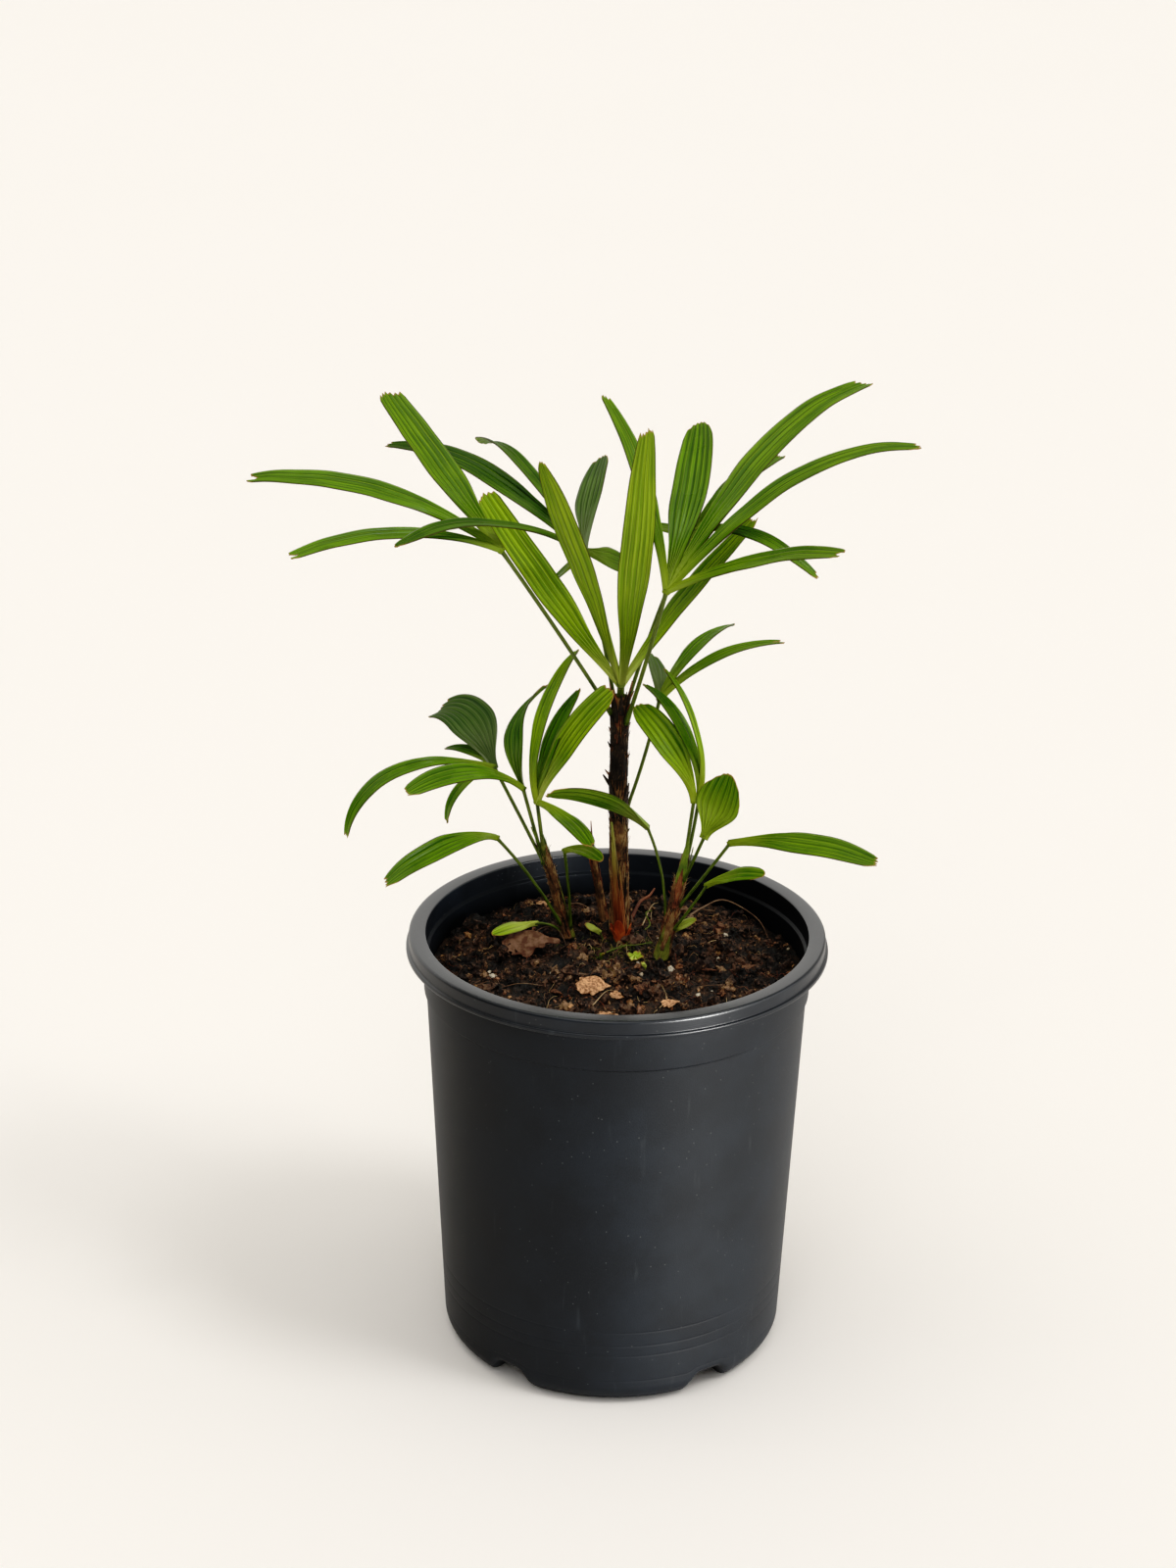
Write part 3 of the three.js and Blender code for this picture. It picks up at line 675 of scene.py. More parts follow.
def grooved_wall():
    """Outer wall from the foot to the step, with its grooves."""
    corner = foot_corner(0, 24)
    heights = np.linspace(POT_CORNER, POT_STEP_HEIGHT, 20)[1:]
    extra = [height + half * k / 2 for height, _, half in POT_GROOVES[1:] for k in range(-4, 5)]
    heights = np.sort(np.concatenate([heights, extra]))
    wall = np.stack([wall_radius(heights), heights], axis=-1)
    line = np.concatenate([corner, wall])
    for height, depth, half in POT_GROOVES:
        line[:, 0] -= depth * np.exp(-(((line[:, 1] - height) / half) ** 2))
    return line


def pot_outline():
    top = POT_HEIGHT
    skirt_foot = top - RIM_DEPTH
    plate_foot = top - RIM_PLATE
    skirt_inside = RIM_RADIUS - RIM_SKIRT
    upper = rounded(
        [
            (POT_STEP_RADII[0], POT_STEP_HEIGHT - 1.2, 0),
            (POT_STEP_RADII[0] + 0.05, POT_STEP_HEIGHT, 0.3),
            (POT_STEP_RADII[1], POT_STEP_HEIGHT + POT_STEP_RISE, 0.35),
            (POT_COLLAR_RADIUS, skirt_foot, 0),
            (POT_COLLAR_RADIUS, plate_foot, 0.4),
            (skirt_inside, plate_foot, 0.4),
            (skirt_inside, skirt_foot, 0.4),
            (RIM_BEAD_RADIUS, skirt_foot, 0.6),
            (RIM_BEAD_RADIUS, skirt_foot + RIM_BEAD_HEIGHT - 0.4, 0.7),
            (RIM_RADIUS, skirt_foot + RIM_BEAD_HEIGHT, 0.4),
            (RIM_RADIUS - 0.1, top, 1.6),
            (RIM_OPENING, top - 0.2, 0.9),
            (RIM_OPENING, top - LEDGE_DROP + 1, 0.4),
            (LEDGE_RADIUS, top - LEDGE_DROP, 0.35),
            (LEDGE_RADIUS - 0.1, top - LEDGE_DROP - 2, 0),
        ]
    )
    lining = foot_corner(POT_WALL)
    lining[:, 1] = np.maximum(lining[:, 1], POT_BASE_THICKNESS)
    inside_top = np.array([[POT_STEP_RADII[0] - POT_WALL, POT_STEP_HEIGHT]])
    lining = spaced(np.concatenate([lining, inside_top]), WALL_STEP)
    under, floor = base_line(0.0), base_line(POT_BASE_THICKNESS)
    return np.concatenate([under, grooved_wall()[:-1], upper, lining[::-1], floor[::-1]])


def base_line(height):
    """The flat base from its middle to the outer edge of the drainage slots."""
    radii = np.append(np.linspace(0.5, SLOT_EDGES[0], 25), SLOT_EDGES[1])
    return np.stack([radii, np.full(len(radii), height)], axis=-1)


def notch_lift(across, forward, height):
    """How far the notches lift the pot's foot at a level place, fading out up the wall."""
    radius = np.hypot(across, forward)
    azimuth = np.arctan2(across, -forward) - NOTCH_FIRST
    step = FULL_TURN / NOTCH_COUNT
    nearest = azimuth - np.round(azimuth / step) * step
    side = np.clip(radius * np.sin(nearest) / NOTCH_HALF_WIDTH, -1, 1)
    arch = NOTCH_HEIGHT * smoothstep(1 - np.abs(side), 0, NOTCH_SHOULDER)
    fade = np.clip(1 - height / NOTCH_FADE, 0, 1)
    return arch * fade * smoothstep(radius, *NOTCH_INNER)


def turned(outline):
    """Points of an outline turned about Z, one row for each place on it. The first column is at a notch."""
    angle = NOTCH_FIRST - math.pi / 2 + np.arange(TURN_STEPS) * FULL_TURN / TURN_STEPS
    radius = outline[:, :1]
    height = np.broadcast_to(outline[:, 1:], (len(outline), TURN_STEPS))
    return np.stack([radius * np.cos(angle), radius * np.sin(angle), height], axis=-1)


def turned_uvs(outline):
    length = np.concatenate([[0], np.cumsum(np.linalg.norm(np.diff(outline, axis=0), axis=1))])
    around = np.linspace(0, FULL_TURN * RIM_RADIUS, TURN_STEPS + 1)
    return np.stack(np.meshgrid(around, length), axis=-1)


def slot_rings(row_in, row_out):
    """Point numbers round the mouth of each drainage slot, on the two rows that it lies between."""
    step = TURN_STEPS // NOTCH_COUNT
    spread = np.arange(-SLOT_COLUMNS, SLOT_COLUMNS + 1)
    rings = []
    for middle in range(0, TURN_STEPS, step):
        columns = (middle + spread) % TURN_STEPS
        rings.append(np.concatenate([row_in * TURN_STEPS + columns, row_out * TURN_STEPS + columns[::-1]]))
    return rings


def make_pot():
    outline = pot_outline()
    points = turned(outline)
    points[..., 2] += notch_lift(points[..., 0], points[..., 1], points[..., 2])
    below = len(base_line(0)) - 2  # the row at the slots' inner edge, under the base
    above = len(outline) - 2 - below  # and the row at their outer edge, on its floor
    holes = np.zeros((len(outline) - 1, TURN_STEPS), bool)
    for middle in range(0, TURN_STEPS, TURN_STEPS // NOTCH_COUNT):
        columns = (middle + np.arange(-SLOT_COLUMNS, SLOT_COLUMNS)) % TURN_STEPS
        holes[below, columns] = holes[above, columns] = True
    on_rim = np.minimum(outline[:-1, 1], outline[1:, 1]) >= POT_HEIGHT - RIM_DEPTH
    past_top = np.arange(len(outline) - 1) > np.argmax(outline[:, 1])
    inside = past_top & (outline[:-1, 1] < POT_HEIGHT - 0.5)
    finishes = np.repeat(np.where(inside, 2, on_rim), TURN_STEPS)[~holes.ravel()]
    shape = Shape()
    start = shape.sheet(points, turned_uvs(outline), finishes, closed=True, holes=holes)
    for under, over in zip(slot_rings(below, below + 1), slot_rings(above + 1, above)):
        walls = np.stack([under, np.roll(under, -1), np.roll(over, -1), over], axis=-1)
        shape.add_faces(walls + start, np.zeros((len(walls), 4, 2)), np.zeros((len(walls), 4, 2)), 0)
    ring = np.arange(TURN_STEPS)
    last = start + (len(outline) - 1) * TURN_STEPS
    shape.fan(start + ring, (0, 0, 0), (0, 0), flip=True)
    shape.fan(last + ring, (0, 0, POT_BASE_THICKNESS), (0, 0))
    finishes = [
        pot_material("moulded_polypropylene", 0.52, 0.3),
        pot_material("moulded_polypropylene_rim", 0.3, 0.46),
        # The inside's copy of the plastic shines least, which darkens it: painted shade inside the pot.
        pot_material("moulded_polypropylene_inside", 0.42, 0.14),
    ]
    pot = shape.make("nursery_pot", finishes, sharp=60)
    hand_over(pot, "pot_plastic", "pot")
    return pot


# ---- Soil ---------------------------------------------------------------------------------------------

SOIL_EDGE_HEIGHT = 203
SOIL_HEIGHT = 211
SOIL_SLOPE = (44.8, LEDGE_RADIUS + 3)  # the mound falls off between these radii
SOIL_RINGS = 100
SOIL_GAP = 0.3  # between the mix and the pot
CRUMB_SEED = 7
LITTER_SEED = 31
# Height, size across and seed of the surface's long waves and of its clumps.
SOIL_SWELL = (2.0, 17.0, 3.0)
SOIL_CLUMPS = [(5.2, 8.5, 11.0), (2.8, 3.9, 23.0), (1.2, 1.9, 31.0)]
SOIL_RELIEF_MEAN = 2.3
# Loose pieces of the mix: how many, smallest and largest radius, how much rarer the large ones are, how
# finely each is rounded, the share of each finish, how far they keep from the wall, how rough they are.
LOOSE_PIECES = {
    "soil_grains": (4200, 0.35, 1.3, 2.5, 1, (0.4, 0.36, 0.17, 0.05, 0.02), 2.5, 0.5),
    "soil_crumbs": (1500, 0.9, 3.2, 3, 2, (0.45, 0.38, 0.13, 0.04, 0.0), 3.5, 0.9),
    "soil_clods": (110, 2.4, 6.0, 2, 3, (0.6, 0.4, 0.0, 0.0, 0.0), 8, 1.0),
}
# The pieces are palest round one place in front, a painted pool of light. Further off, this share of the
# pieces is dark, painted shade.
LIT_PLACE = (8, -50)
LIT_REACH = 36
SHADED_SHARE = 0.55
# White grains of perlite that lie on top.
PERLITE = [(51, -6), (27, -17), (56, 25), (12, -27), (-62, -22), (-30, 48), (40, -44), (-72, 20)]
PERLITE_RADIUS = 1.7


def soil_height(across, forward):
    """Height of the soil's surface, a low mound with clods and hollows."""
    across, forward = np.asarray(across, float), np.asarray(forward, float)
    radius = np.hypot(across, forward)
    mound = lerp(SOIL_HEIGHT, SOIL_EDGE_HEIGHT, smoothstep(radius, *SOIL_SLOPE))
    place = np.stack([across, forward, np.zeros_like(across)], axis=-1)
    relief = SOIL_SWELL[0] * field(place, *SOIL_SWELL[1:])
    for height, size, seed in SOIL_CLUMPS:
        relief += height * np.abs(field(place, size, seed))
    near_wall = smoothstep(radius, LEDGE_RADIUS - 8, LEDGE_RADIUS)
    return mound + relief * (1 - 0.5 * near_wall) - SOIL_RELIEF_MEAN


def make_soil(finish):
    lining = foot_corner(POT_WALL + SOIL_GAP)
    lining[:, 1] = np.maximum(lining[:, 1], POT_BASE_THICKNESS + SOIL_GAP)
    start = [[0.5, POT_BASE_THICKNESS + SOIL_GAP]]
    wall = [[LEDGE_RADIUS - SOIL_GAP, POT_STEP_HEIGHT]]
    under = spaced(np.concatenate([start, lining, wall]), WALL_STEP)
    radii = np.linspace(LEDGE_RADIUS - SOIL_GAP, 0.8, SOIL_RINGS)
    top = np.stack([radii, np.full(SOIL_RINGS, SOIL_EDGE_HEIGHT)], axis=-1)
    outline = np.concatenate([under, top])
    points = turned(outline)
    below, above = points[: len(under)], points[len(under) :]
    below[..., 2] += notch_lift(below[..., 0], below[..., 1], below[..., 2])
    above[..., 2] = soil_height(above[..., 0], above[..., 1])
    shape = Shape()
    first = shape.sheet(points, turned_uvs(outline), closed=True)
    ring = np.arange(TURN_STEPS)
    last = first + (len(outline) - 1) * TURN_STEPS
    shape.fan(first + ring, (0, 0, POT_BASE_THICKNESS + SOIL_GAP), (0, 0), flip=True)
    shape.fan(last + ring, (0, 0, float(above[-1, :, 2].mean())), (0, 0))
    soil = shape.make("potting_mix", [finish])
    hand_over(soil, "potting_mix", "soil")


def ball_mesh(level):
    """Corner points and faces of a ball of triangles."""
    ball = bmesh.new()
    bmesh.ops.create_icosphere(ball, subdivisions=level, radius=1)
    ball.verts.ensure_lookup_table()
    points = np.array([vertex.co for vertex in ball.verts])
    faces = np.array([[vertex.index for vertex in face.verts] for face in ball.faces])
    ball.free()
    return points, faces


def scattered(rng, count, reach):
    """Level places spread evenly over the soil."""
    radius = reach * np.sqrt(rng.random(count))
    angle = rng.random(count) * FULL_TURN
    return radius * np.cos(angle), radius * np.sin(angle)


def add_lumps(shape, rng, level, places, sizes, kinds, roughness):
    """Irregular lumps, half sunk in the soil. Each is a ball squashed, roughened and turned."""
    ball, faces = ball_mesh(level)
    across, forward = places
    height = soil_height(across, forward)
    for x, y, z, size, kind in zip(across, forward, height, sizes, kinds):
        squash = rng.uniform(0.5, 1.0, 3) * size
        dents = 1 + roughness * field(ball, 0.7, rng.random() * 90)
        dents += 0.5 * roughness * field(ball, 0.3, rng.random() * 90)
        turn, _ = np.linalg.qr(rng.normal(size=(3, 3)))
        if np.linalg.det(turn) < 0:
            turn[:, 0] *= -1
        points = (ball * dents[:, None] * squash) @ turn.T
        centre = np.array([x, y, z + 0.25 * size])
        start = shape.add_points(points + centre)
        uvs = np.zeros((len(faces), 3, 2))
        shape.add_faces(faces + start, uvs, uvs, kind)


def make_loose(name, rng, finishes):
    """One kind of loose piece strewn over the soil."""
    count, smallest, largest, rarity, level, shares, margin, roughness = LOOSE_PIECES[name]
    shape = Shape()
    places = scattered(rng, count, LEDGE_RADIUS - margin)
    sizes = lerp(smallest, largest, rng.random(count) ** rarity)
    kinds = rng.choice(len(shares), count, p=shares)
    # Away from the lit place some pieces are made dark: painted shade.
    in_painted_shade = np.hypot(places[0] - LIT_PLACE[0], places[1] - LIT_PLACE[1]) > LIT_REACH
    kinds = np.where(in_painted_shade & (rng.random(count) < SHADED_SHARE), 0, kinds)
    add_lumps(shape, rng, level, places, sizes, kinds, roughness)
    loose = shape.make(name, finishes, sharp=28)
    hand_over(loose, "potting_mix")


def make_crumbs(finishes):
    rng = np.random.default_rng(CRUMB_SEED)
    for name in LOOSE_PIECES:
        make_loose(name, rng, finishes)
    shape = Shape()
    for across, forward in PERLITE:
        places = (np.array([across]), np.array([forward]))
        add_lumps(shape, rng, 3, places, [PERLITE_RADIUS], [0], 0.5)
    hand_over(shape.make("perlite_grains", finishes[-1:]), "potting_mix")


# Flakes of bark: place, length and width, heading in degrees, tilt towards the front and along it, arch,
# lift, how far it curves like a claw, finish.
CHIPS = [
    ((-43, -3), (29, 15), 4, 32, -6, 3.6, 6.4, 3.8, 1),
    ((-11, -46), (17, 11), -4, 30, 4, 1.4, 2.2, 0.4, 2),
    ((12, -45), (13, 6), 60, 40, 10, 1.0, 1.8, 0.6, 0),
    ((26, -54), (9, 5), 20, 30, 0, 0.8, 1.5, 0.3, 2),
    ((0, -56), (8, 4), -30, 35, 5, 0.8, 1.5, 0.3, 2),
    ((-5, -68), (10, 5), 5, 30, 0, 0.8, 1.6, 0.2, 2),
    ((-30, -44), (9, 5), 110, 20, 10, 0.8, 1.4, 0.2, 0),
    ((44, -22), (12, 6), 140, 25, 8, 1.0, 1.6, 0.4, 0),
    ((66, -8), (8, 4), 30, 30, 0, 0.6, 1.4, 0.2, 1),
    ((-64, 30), (10, 5), 160, 30, 0, 0.8, 1.6, 0.2, 1),
    ((54, 40), (11, 4), 100, 20, 0, 0.7, 1.4, 0.3, 1),
    ((5, 70), (12, 6), 0, 25, 0, 0.8, 1.6, 0.3, 0),
    ((-38, 66), (10, 5), 45, 20, 10, 0.8, 1.6, 0.3, 2),
    ((36, 62), (9, 5), 80, 20, 10, 0.8, 1.6, 0.3, 1),
]
# Twigs and roots: their points as places on the soil and heights over it, their thickest radius, finish.
TWIGS = [
    ([(-46, 7, 0), (-41, 13, 5), (-35, 17, 7), (-29, 14, 5), (-25, 7, 0.5)], 0.55, 1),
    ([(-23, -29, 1.5), (-16, -30, 2.5), (-9, -29, 1.5)], 0.7, 1),
    ([(-79, 49, 1), (-73, 46, 2), (-67, 43, 1)], 0.6, 1),
    ([(-25, 66, 1), (-20, 59, 3), (-15, 52, 1)], 0.7, 1),
    ([(8, 41, 2), (12, 50, 6), (17, 60, 9), (20, 66, 10)], 1.1, 0),
    ([(36, 45, 1), (44, 55, 4), (55, 62, 6), (66, 60, 6), (75, 52, 4), (79, 37, 0)], 0.65, 1),
    ([(28, 52, 1), (40, 58, 4), (52, 60, 3), (60, 68, 1)], 0.5, 1),
    ([(58, -30, 1), (50, -38, 3), (40, -36, 1)], 0.4, 1),
    ([(-60, -34, 0.5), (-48, -40, 2), (-36, -38, 0.5)], 0.35, 1),
    ([(-12, -60, 1), (-6, -52, 4), (-2, -42, 1)], 0.3, 2),
    ([(18, -62, 1), (24, -52, 3), (22, -40, 1)], 0.3, 2),
    ([(62, 4, 1), (52, 10, 3), (44, 6, 1)], 0.3, 2),
    ([(13, 32, 1), (18, 45, 6), (22, 63, 2)], 0.35, 2),
]
# Fine fibres strewn over the mix, and moss round the stems: how many, lengths, radii, share of each finish.
SOIL_FIBRES = (260, (4, 15), (0.1, 0.22), (0.4, 0.35, 0.25, 0.0))
MOSS_FIBRES = (150, (3, 8), (0.12, 0.24), (0.0, 0.0, 0.3, 0.7))
ROOT_POINTS = 8


def add_chip(shape, seed, place, size, heading, tilt, lean, arch, lift, claw, finish):
    """A flake of bark: an arched slab with a ragged edge, one side sunk in the soil."""
    rows, columns = 15, 27
    u, v = np.meshgrid(np.linspace(-1, 1, columns), np.linspace(-1, 1, rows))
    across = u * np.sqrt(1 - 0.42 * v**2)
    forward = v * np.sqrt(1 - 0.42 * u**2) * lerp(1, 0.3, smoothstep(u, -0.2, 1))
    edge = smoothstep(np.maximum(np.abs(u), np.abs(v)), 0.6, 1)
    noise_at = np.stack([across * 2, forward * 2, np.full_like(u, seed * 3.7)], axis=-1)
    ragged = 1 + 0.35 * field(noise_at, 0.8) * edge
    x = across * size[0] / 2 * ragged
    y = forward * size[1] / 2 * ragged + claw * (0.4 - across**2)
    grain = 0.35 * field(np.stack([x * 0.3, y * 1.4, np.full_like(u, seed)], axis=-1), 1.0)
    z = arch * (1 - forward**2) + grain
    thick = 0.9 * (1.1 - 0.7 * edge)
    turn = Matrix.Rotation(math.radians(heading), 3, "Z") @ Matrix.Rotation(math.radians(tilt), 3, "X")
    turn = np.array(turn @ Matrix.Rotation(math.radians(lean), 3, "Y"))
    base = np.array([*place, float(soil_height(*place)) + lift])
    top = np.stack([x, y, z], axis=-1) @ turn.T + base
    under = np.stack([x, y, z - thick], axis=-1) @ turn.T + base
    uvs = np.stack([x, y], axis=-1)
    shape.slab(top, under, uvs, uvs, (finish, finish, finish))


def make_litter():
    """What lies on the mix: bark flakes, twigs, fine roots and a little moss round the stems."""
    rng = np.random.default_rng(LITTER_SEED)
    shape = Shape()
    for seed, chip in enumerate(CHIPS):
        add_chip(shape, seed, *chip)
    chips = shape.make("bark_flakes", [
        bark_material("bark_flake", "#2c1a10", "#7a5138", 1.6),
        bark_material("red_bark_flake", "#5a3a28", "#8a6650", 4.0),
        bark_material("pale_bark_flake", "#8a5c38", "#dcae82", 1.4),
    ], sharp=40)
    hand_over(chips, "potting_mix")
    shape = Shape()
    for points, radius, finish in TWIGS:
        points = np.array(points, float)
        points[:, 2] += soil_height(points[:, 0], points[:, 1])
        line = smooth_line(points, 24)
        taper = np.linspace(1, 0.45, len(line))
        shape.tube(line, radius * taper, 8, finish)
    count, *fibre = SOIL_FIBRES
    for place in zip(*scattered(rng, count, LEDGE_RADIUS - 6)):
        add_root(shape, rng, place, *fibre)
    count, *moss = MOSS_FIBRES
    for _ in range(count):
        add_root(shape, rng, (rng.normal(2, 9), rng.normal(2, 8)), *moss)
    twigs = shape.make("twigs_and_roots", [
        fibre_material("red_twig", "#43241a", "#8a5238", "#c29072", 0.6),
        fibre_material("grey_twig", "#4b382c", "#8f745c", "#c9b090", 0.7),
        fibre_material("pale_root", "#8f7350", "#c9b088", "#ecdcb8", 0.6),
        fibre_material("moss", "#3a4212", "#71772a", "#a5a552", 0.7),
    ])
    hand_over(twigs, "potting_mix")


def add_root(shape, rng, place, lengths, radii, shares):
    """A fine root or fibre that lies in a loose curl over the soil."""
    length, radius = rng.uniform(*lengths), rng.uniform(*radii)
    finish = rng.choice(len(shares), p=shares)
    heading = rng.uniform(0, FULL_TURN) + np.cumsum(rng.normal(0, 0.35, ROOT_POINTS))
    step = length / (ROOT_POINTS - 1)
    across = place[0] + np.concatenate([[0], np.cumsum(np.cos(heading[:-1]) * step)])
    forward = place[1] + np.concatenate([[0], np.cumsum(np.sin(heading[:-1]) * step)])
    reach = np.hypot(across, forward)
    squeeze = np.minimum(1, (LEDGE_RADIUS - 3) / np.maximum(reach, 1))
    across, forward = across * squeeze, forward * squeeze
    part = np.linspace(0, 1, ROOT_POINTS)
    height = soil_height(across, forward) + 0.5 + rng.uniform(0.3, 2.6) * np.sin(math.pi * part)
    line = np.stack([across, forward, height], axis=-1)
    shape.tube(line, radius * (1 - 0.6 * part), 4, finish)


# ---- Canes --------------------------------------------------------------------------------------------

FOOT = 211.3
CANE_CORE = 0.84  # radius of the bare cane, as a part of the whole with its coat
CANE_STEPS = 90
CANE_SIDES = 40
SCALE_ROWS = 26
SCALE_COLUMNS = 17
FIBRE_POINTS = 7  # along a loose fibre or a stub
# Foot, tip, shift of the middle, radius at the foot and at the tip, flare of the foot.
CANES = {
    "main_cane": ((2, 25, FOOT), (0, 25, 340), (-2, 0), (5.2, 4.7), 1.6),
    "left_cane": ((-25, 18, FOOT), (-38, 14, 263), (1, 0), (3.6, 2.4), 0.8),
    "short_cane": ((-6, 39, FOOT), (-13, 38, 250), (0, 0), (2.8, 1.6), 0.6),
    "right_cane": ((22, -6, FOOT), (33.5, -2, 266), (1, 0), (4.2, 2.5), 0.8),
    "new_shoot": ((2.5, 15, FOOT), (-3.5, 17.5, 275), (0, 0), (3.6, 0.6), 0.6),
}


def cane_point(cane, along):
    """A place on a cane's axis, and its radius there. The axis bends towards its shifted middle."""
    foot, tip, lean, radius, flare = CANES[cane]
    foot, tip = np.array(foot, float), np.array(tip, float)
    middle = (foot + tip) / 2 + np.array([*lean, 0.0])
    along = np.asarray(along, float)[..., None]
    point = (1 - along) ** 2 * foot + 2 * along * (1 - along) * middle + along**2 * tip
    part = along[..., 0]
    return point, lerp(radius[0], radius[1], part) + flare * np.clip(1 - 6 * part, 0, 1)


def beside_cane(cane, along, bearing, out):
    """A place beside a cane: a part of its length, a bearing round it from +X, a distance out of its core."""
    point, radius = cane_point(cane, along)
    angle = np.radians(bearing)
    way = np.stack([np.cos(angle), np.sin(angle), np.zeros_like(angle)], axis=-1)
    return point + way * (np.maximum(radius * CANE_CORE, 0.5) + out)[..., None]


CANE_FINISHES = ("core", "dark", "red", "pale", "green", "olive", "bract", "spear")
# Loose fibres: count, lowest and highest start, length, lift of the upper end, thickness, finish. Starts and
# lengths are parts of the cane's length.
CANE_STRANDS = {
    "main_cane": [
        (260, 0.0, 0.9, 0.09, 0.9, 0.34, "dark"),
        (150, 0.0, 0.45, 0.08, 0.6, 0.3, "pale"),
        (120, 0.0, 0.97, 0.06, 1.3, 0.26, "red"),
        (60, 0.3, 0.97, 0.03, 1.8, 0.2, "pale"),
    ],
    "left_cane": [
        (90, 0.0, 0.95, 0.16, 0.8, 0.3, "dark"),
        (90, 0.0, 0.95, 0.11, 1.4, 0.26, "red"),
        (120, 0.05, 0.95, 0.06, 1.6, 0.24, "pale"),
    ],
    "short_cane": [
        (50, 0.0, 0.9, 0.3, 0.5, 0.26, "dark"),
        (80, 0.0, 0.9, 0.22, 0.7, 0.24, "red"),
        (30, 0.1, 0.9, 0.15, 0.9, 0.18, "pale"),
    ],
    "right_cane": [
        (60, 0.12, 0.7, 0.16, 0.6, 0.3, "dark"),
        (130, 0.12, 0.72, 0.12, 1.4, 0.28, "red"),
        (130, 0.12, 0.78, 0.07, 1.6, 0.24, "pale"),
    ],
    "new_shoot": [
        (20, 0.0, 0.3, 0.2, 0.8, 0.2, "red"),
        (16, 0.05, 0.5, 0.3, 0.2, 0.2, "dark"),
    ],
}
# Stubs of old leaf bases that stand off: part of the cane, bearing, length, rise of the tip, thickness,
# finish.
CANE_SPIKES = {
    "main_cane": [
        (0.62, 188, 10, 7, 1.6, "dark"),
        (0.66, 176, 7, 4, 1.0, "red"),
        (0.78, 184, 5, 4, 1.0, "dark"),
        (0.84, 178, 4, 4, 0.8, "red"),
        (0.91, 190, 5, 5, 1.0, "red"),
        (0.74, 350, 4, 3, 0.8, "dark"),
        (0.5, 195, 4, 3, 0.9, "dark"),
        (0.97, 350, 7, 7, 1.0, "red"),
        (0.96, 200, 5, 6, 0.9, "dark"),
        (0.98, 235, 5, 8, 0.9, "red"),
        (0.97, 300, 6, 8, 0.9, "dark"),
        (0.93, 325, 5, 6, 0.8, "red"),
        (0.94, 215, 4, 6, 0.8, "dark"),
        (0.42, 5, 4, 3, 0.9, "dark"),
        (0.86, 2, 4, 4, 0.8, "red"),
        (0.57, 2, 4, 4, 0.8, "dark"),
    ],
    "left_cane": [
        (0.95, 185, 7, 4, 0.9, "dark"),
        (0.8, 200, 4, 3, 0.7, "red"),
        (0.55, 190, 4, 3, 0.7, "pale"),
        (0.35, 170, 4, 3, 0.7, "dark"),
    ],
    "short_cane": [
        (0.9, 100, 16, 17, 0.9, "red"),
        (0.7, 190, 4, 1, 0.7, "pale"),
        (0.88, 20, 4, 5, 1.3, "dark"),
    ],
    "right_cane": [
        (0.78, 350, 5, 4, 0.8, "red"),
        (0.4, 350, 4, 3, 0.7, "pale"),
        (0.6, 180, 4, 3, 0.7, "red"),
    ],
    "new_shoot": [],
}
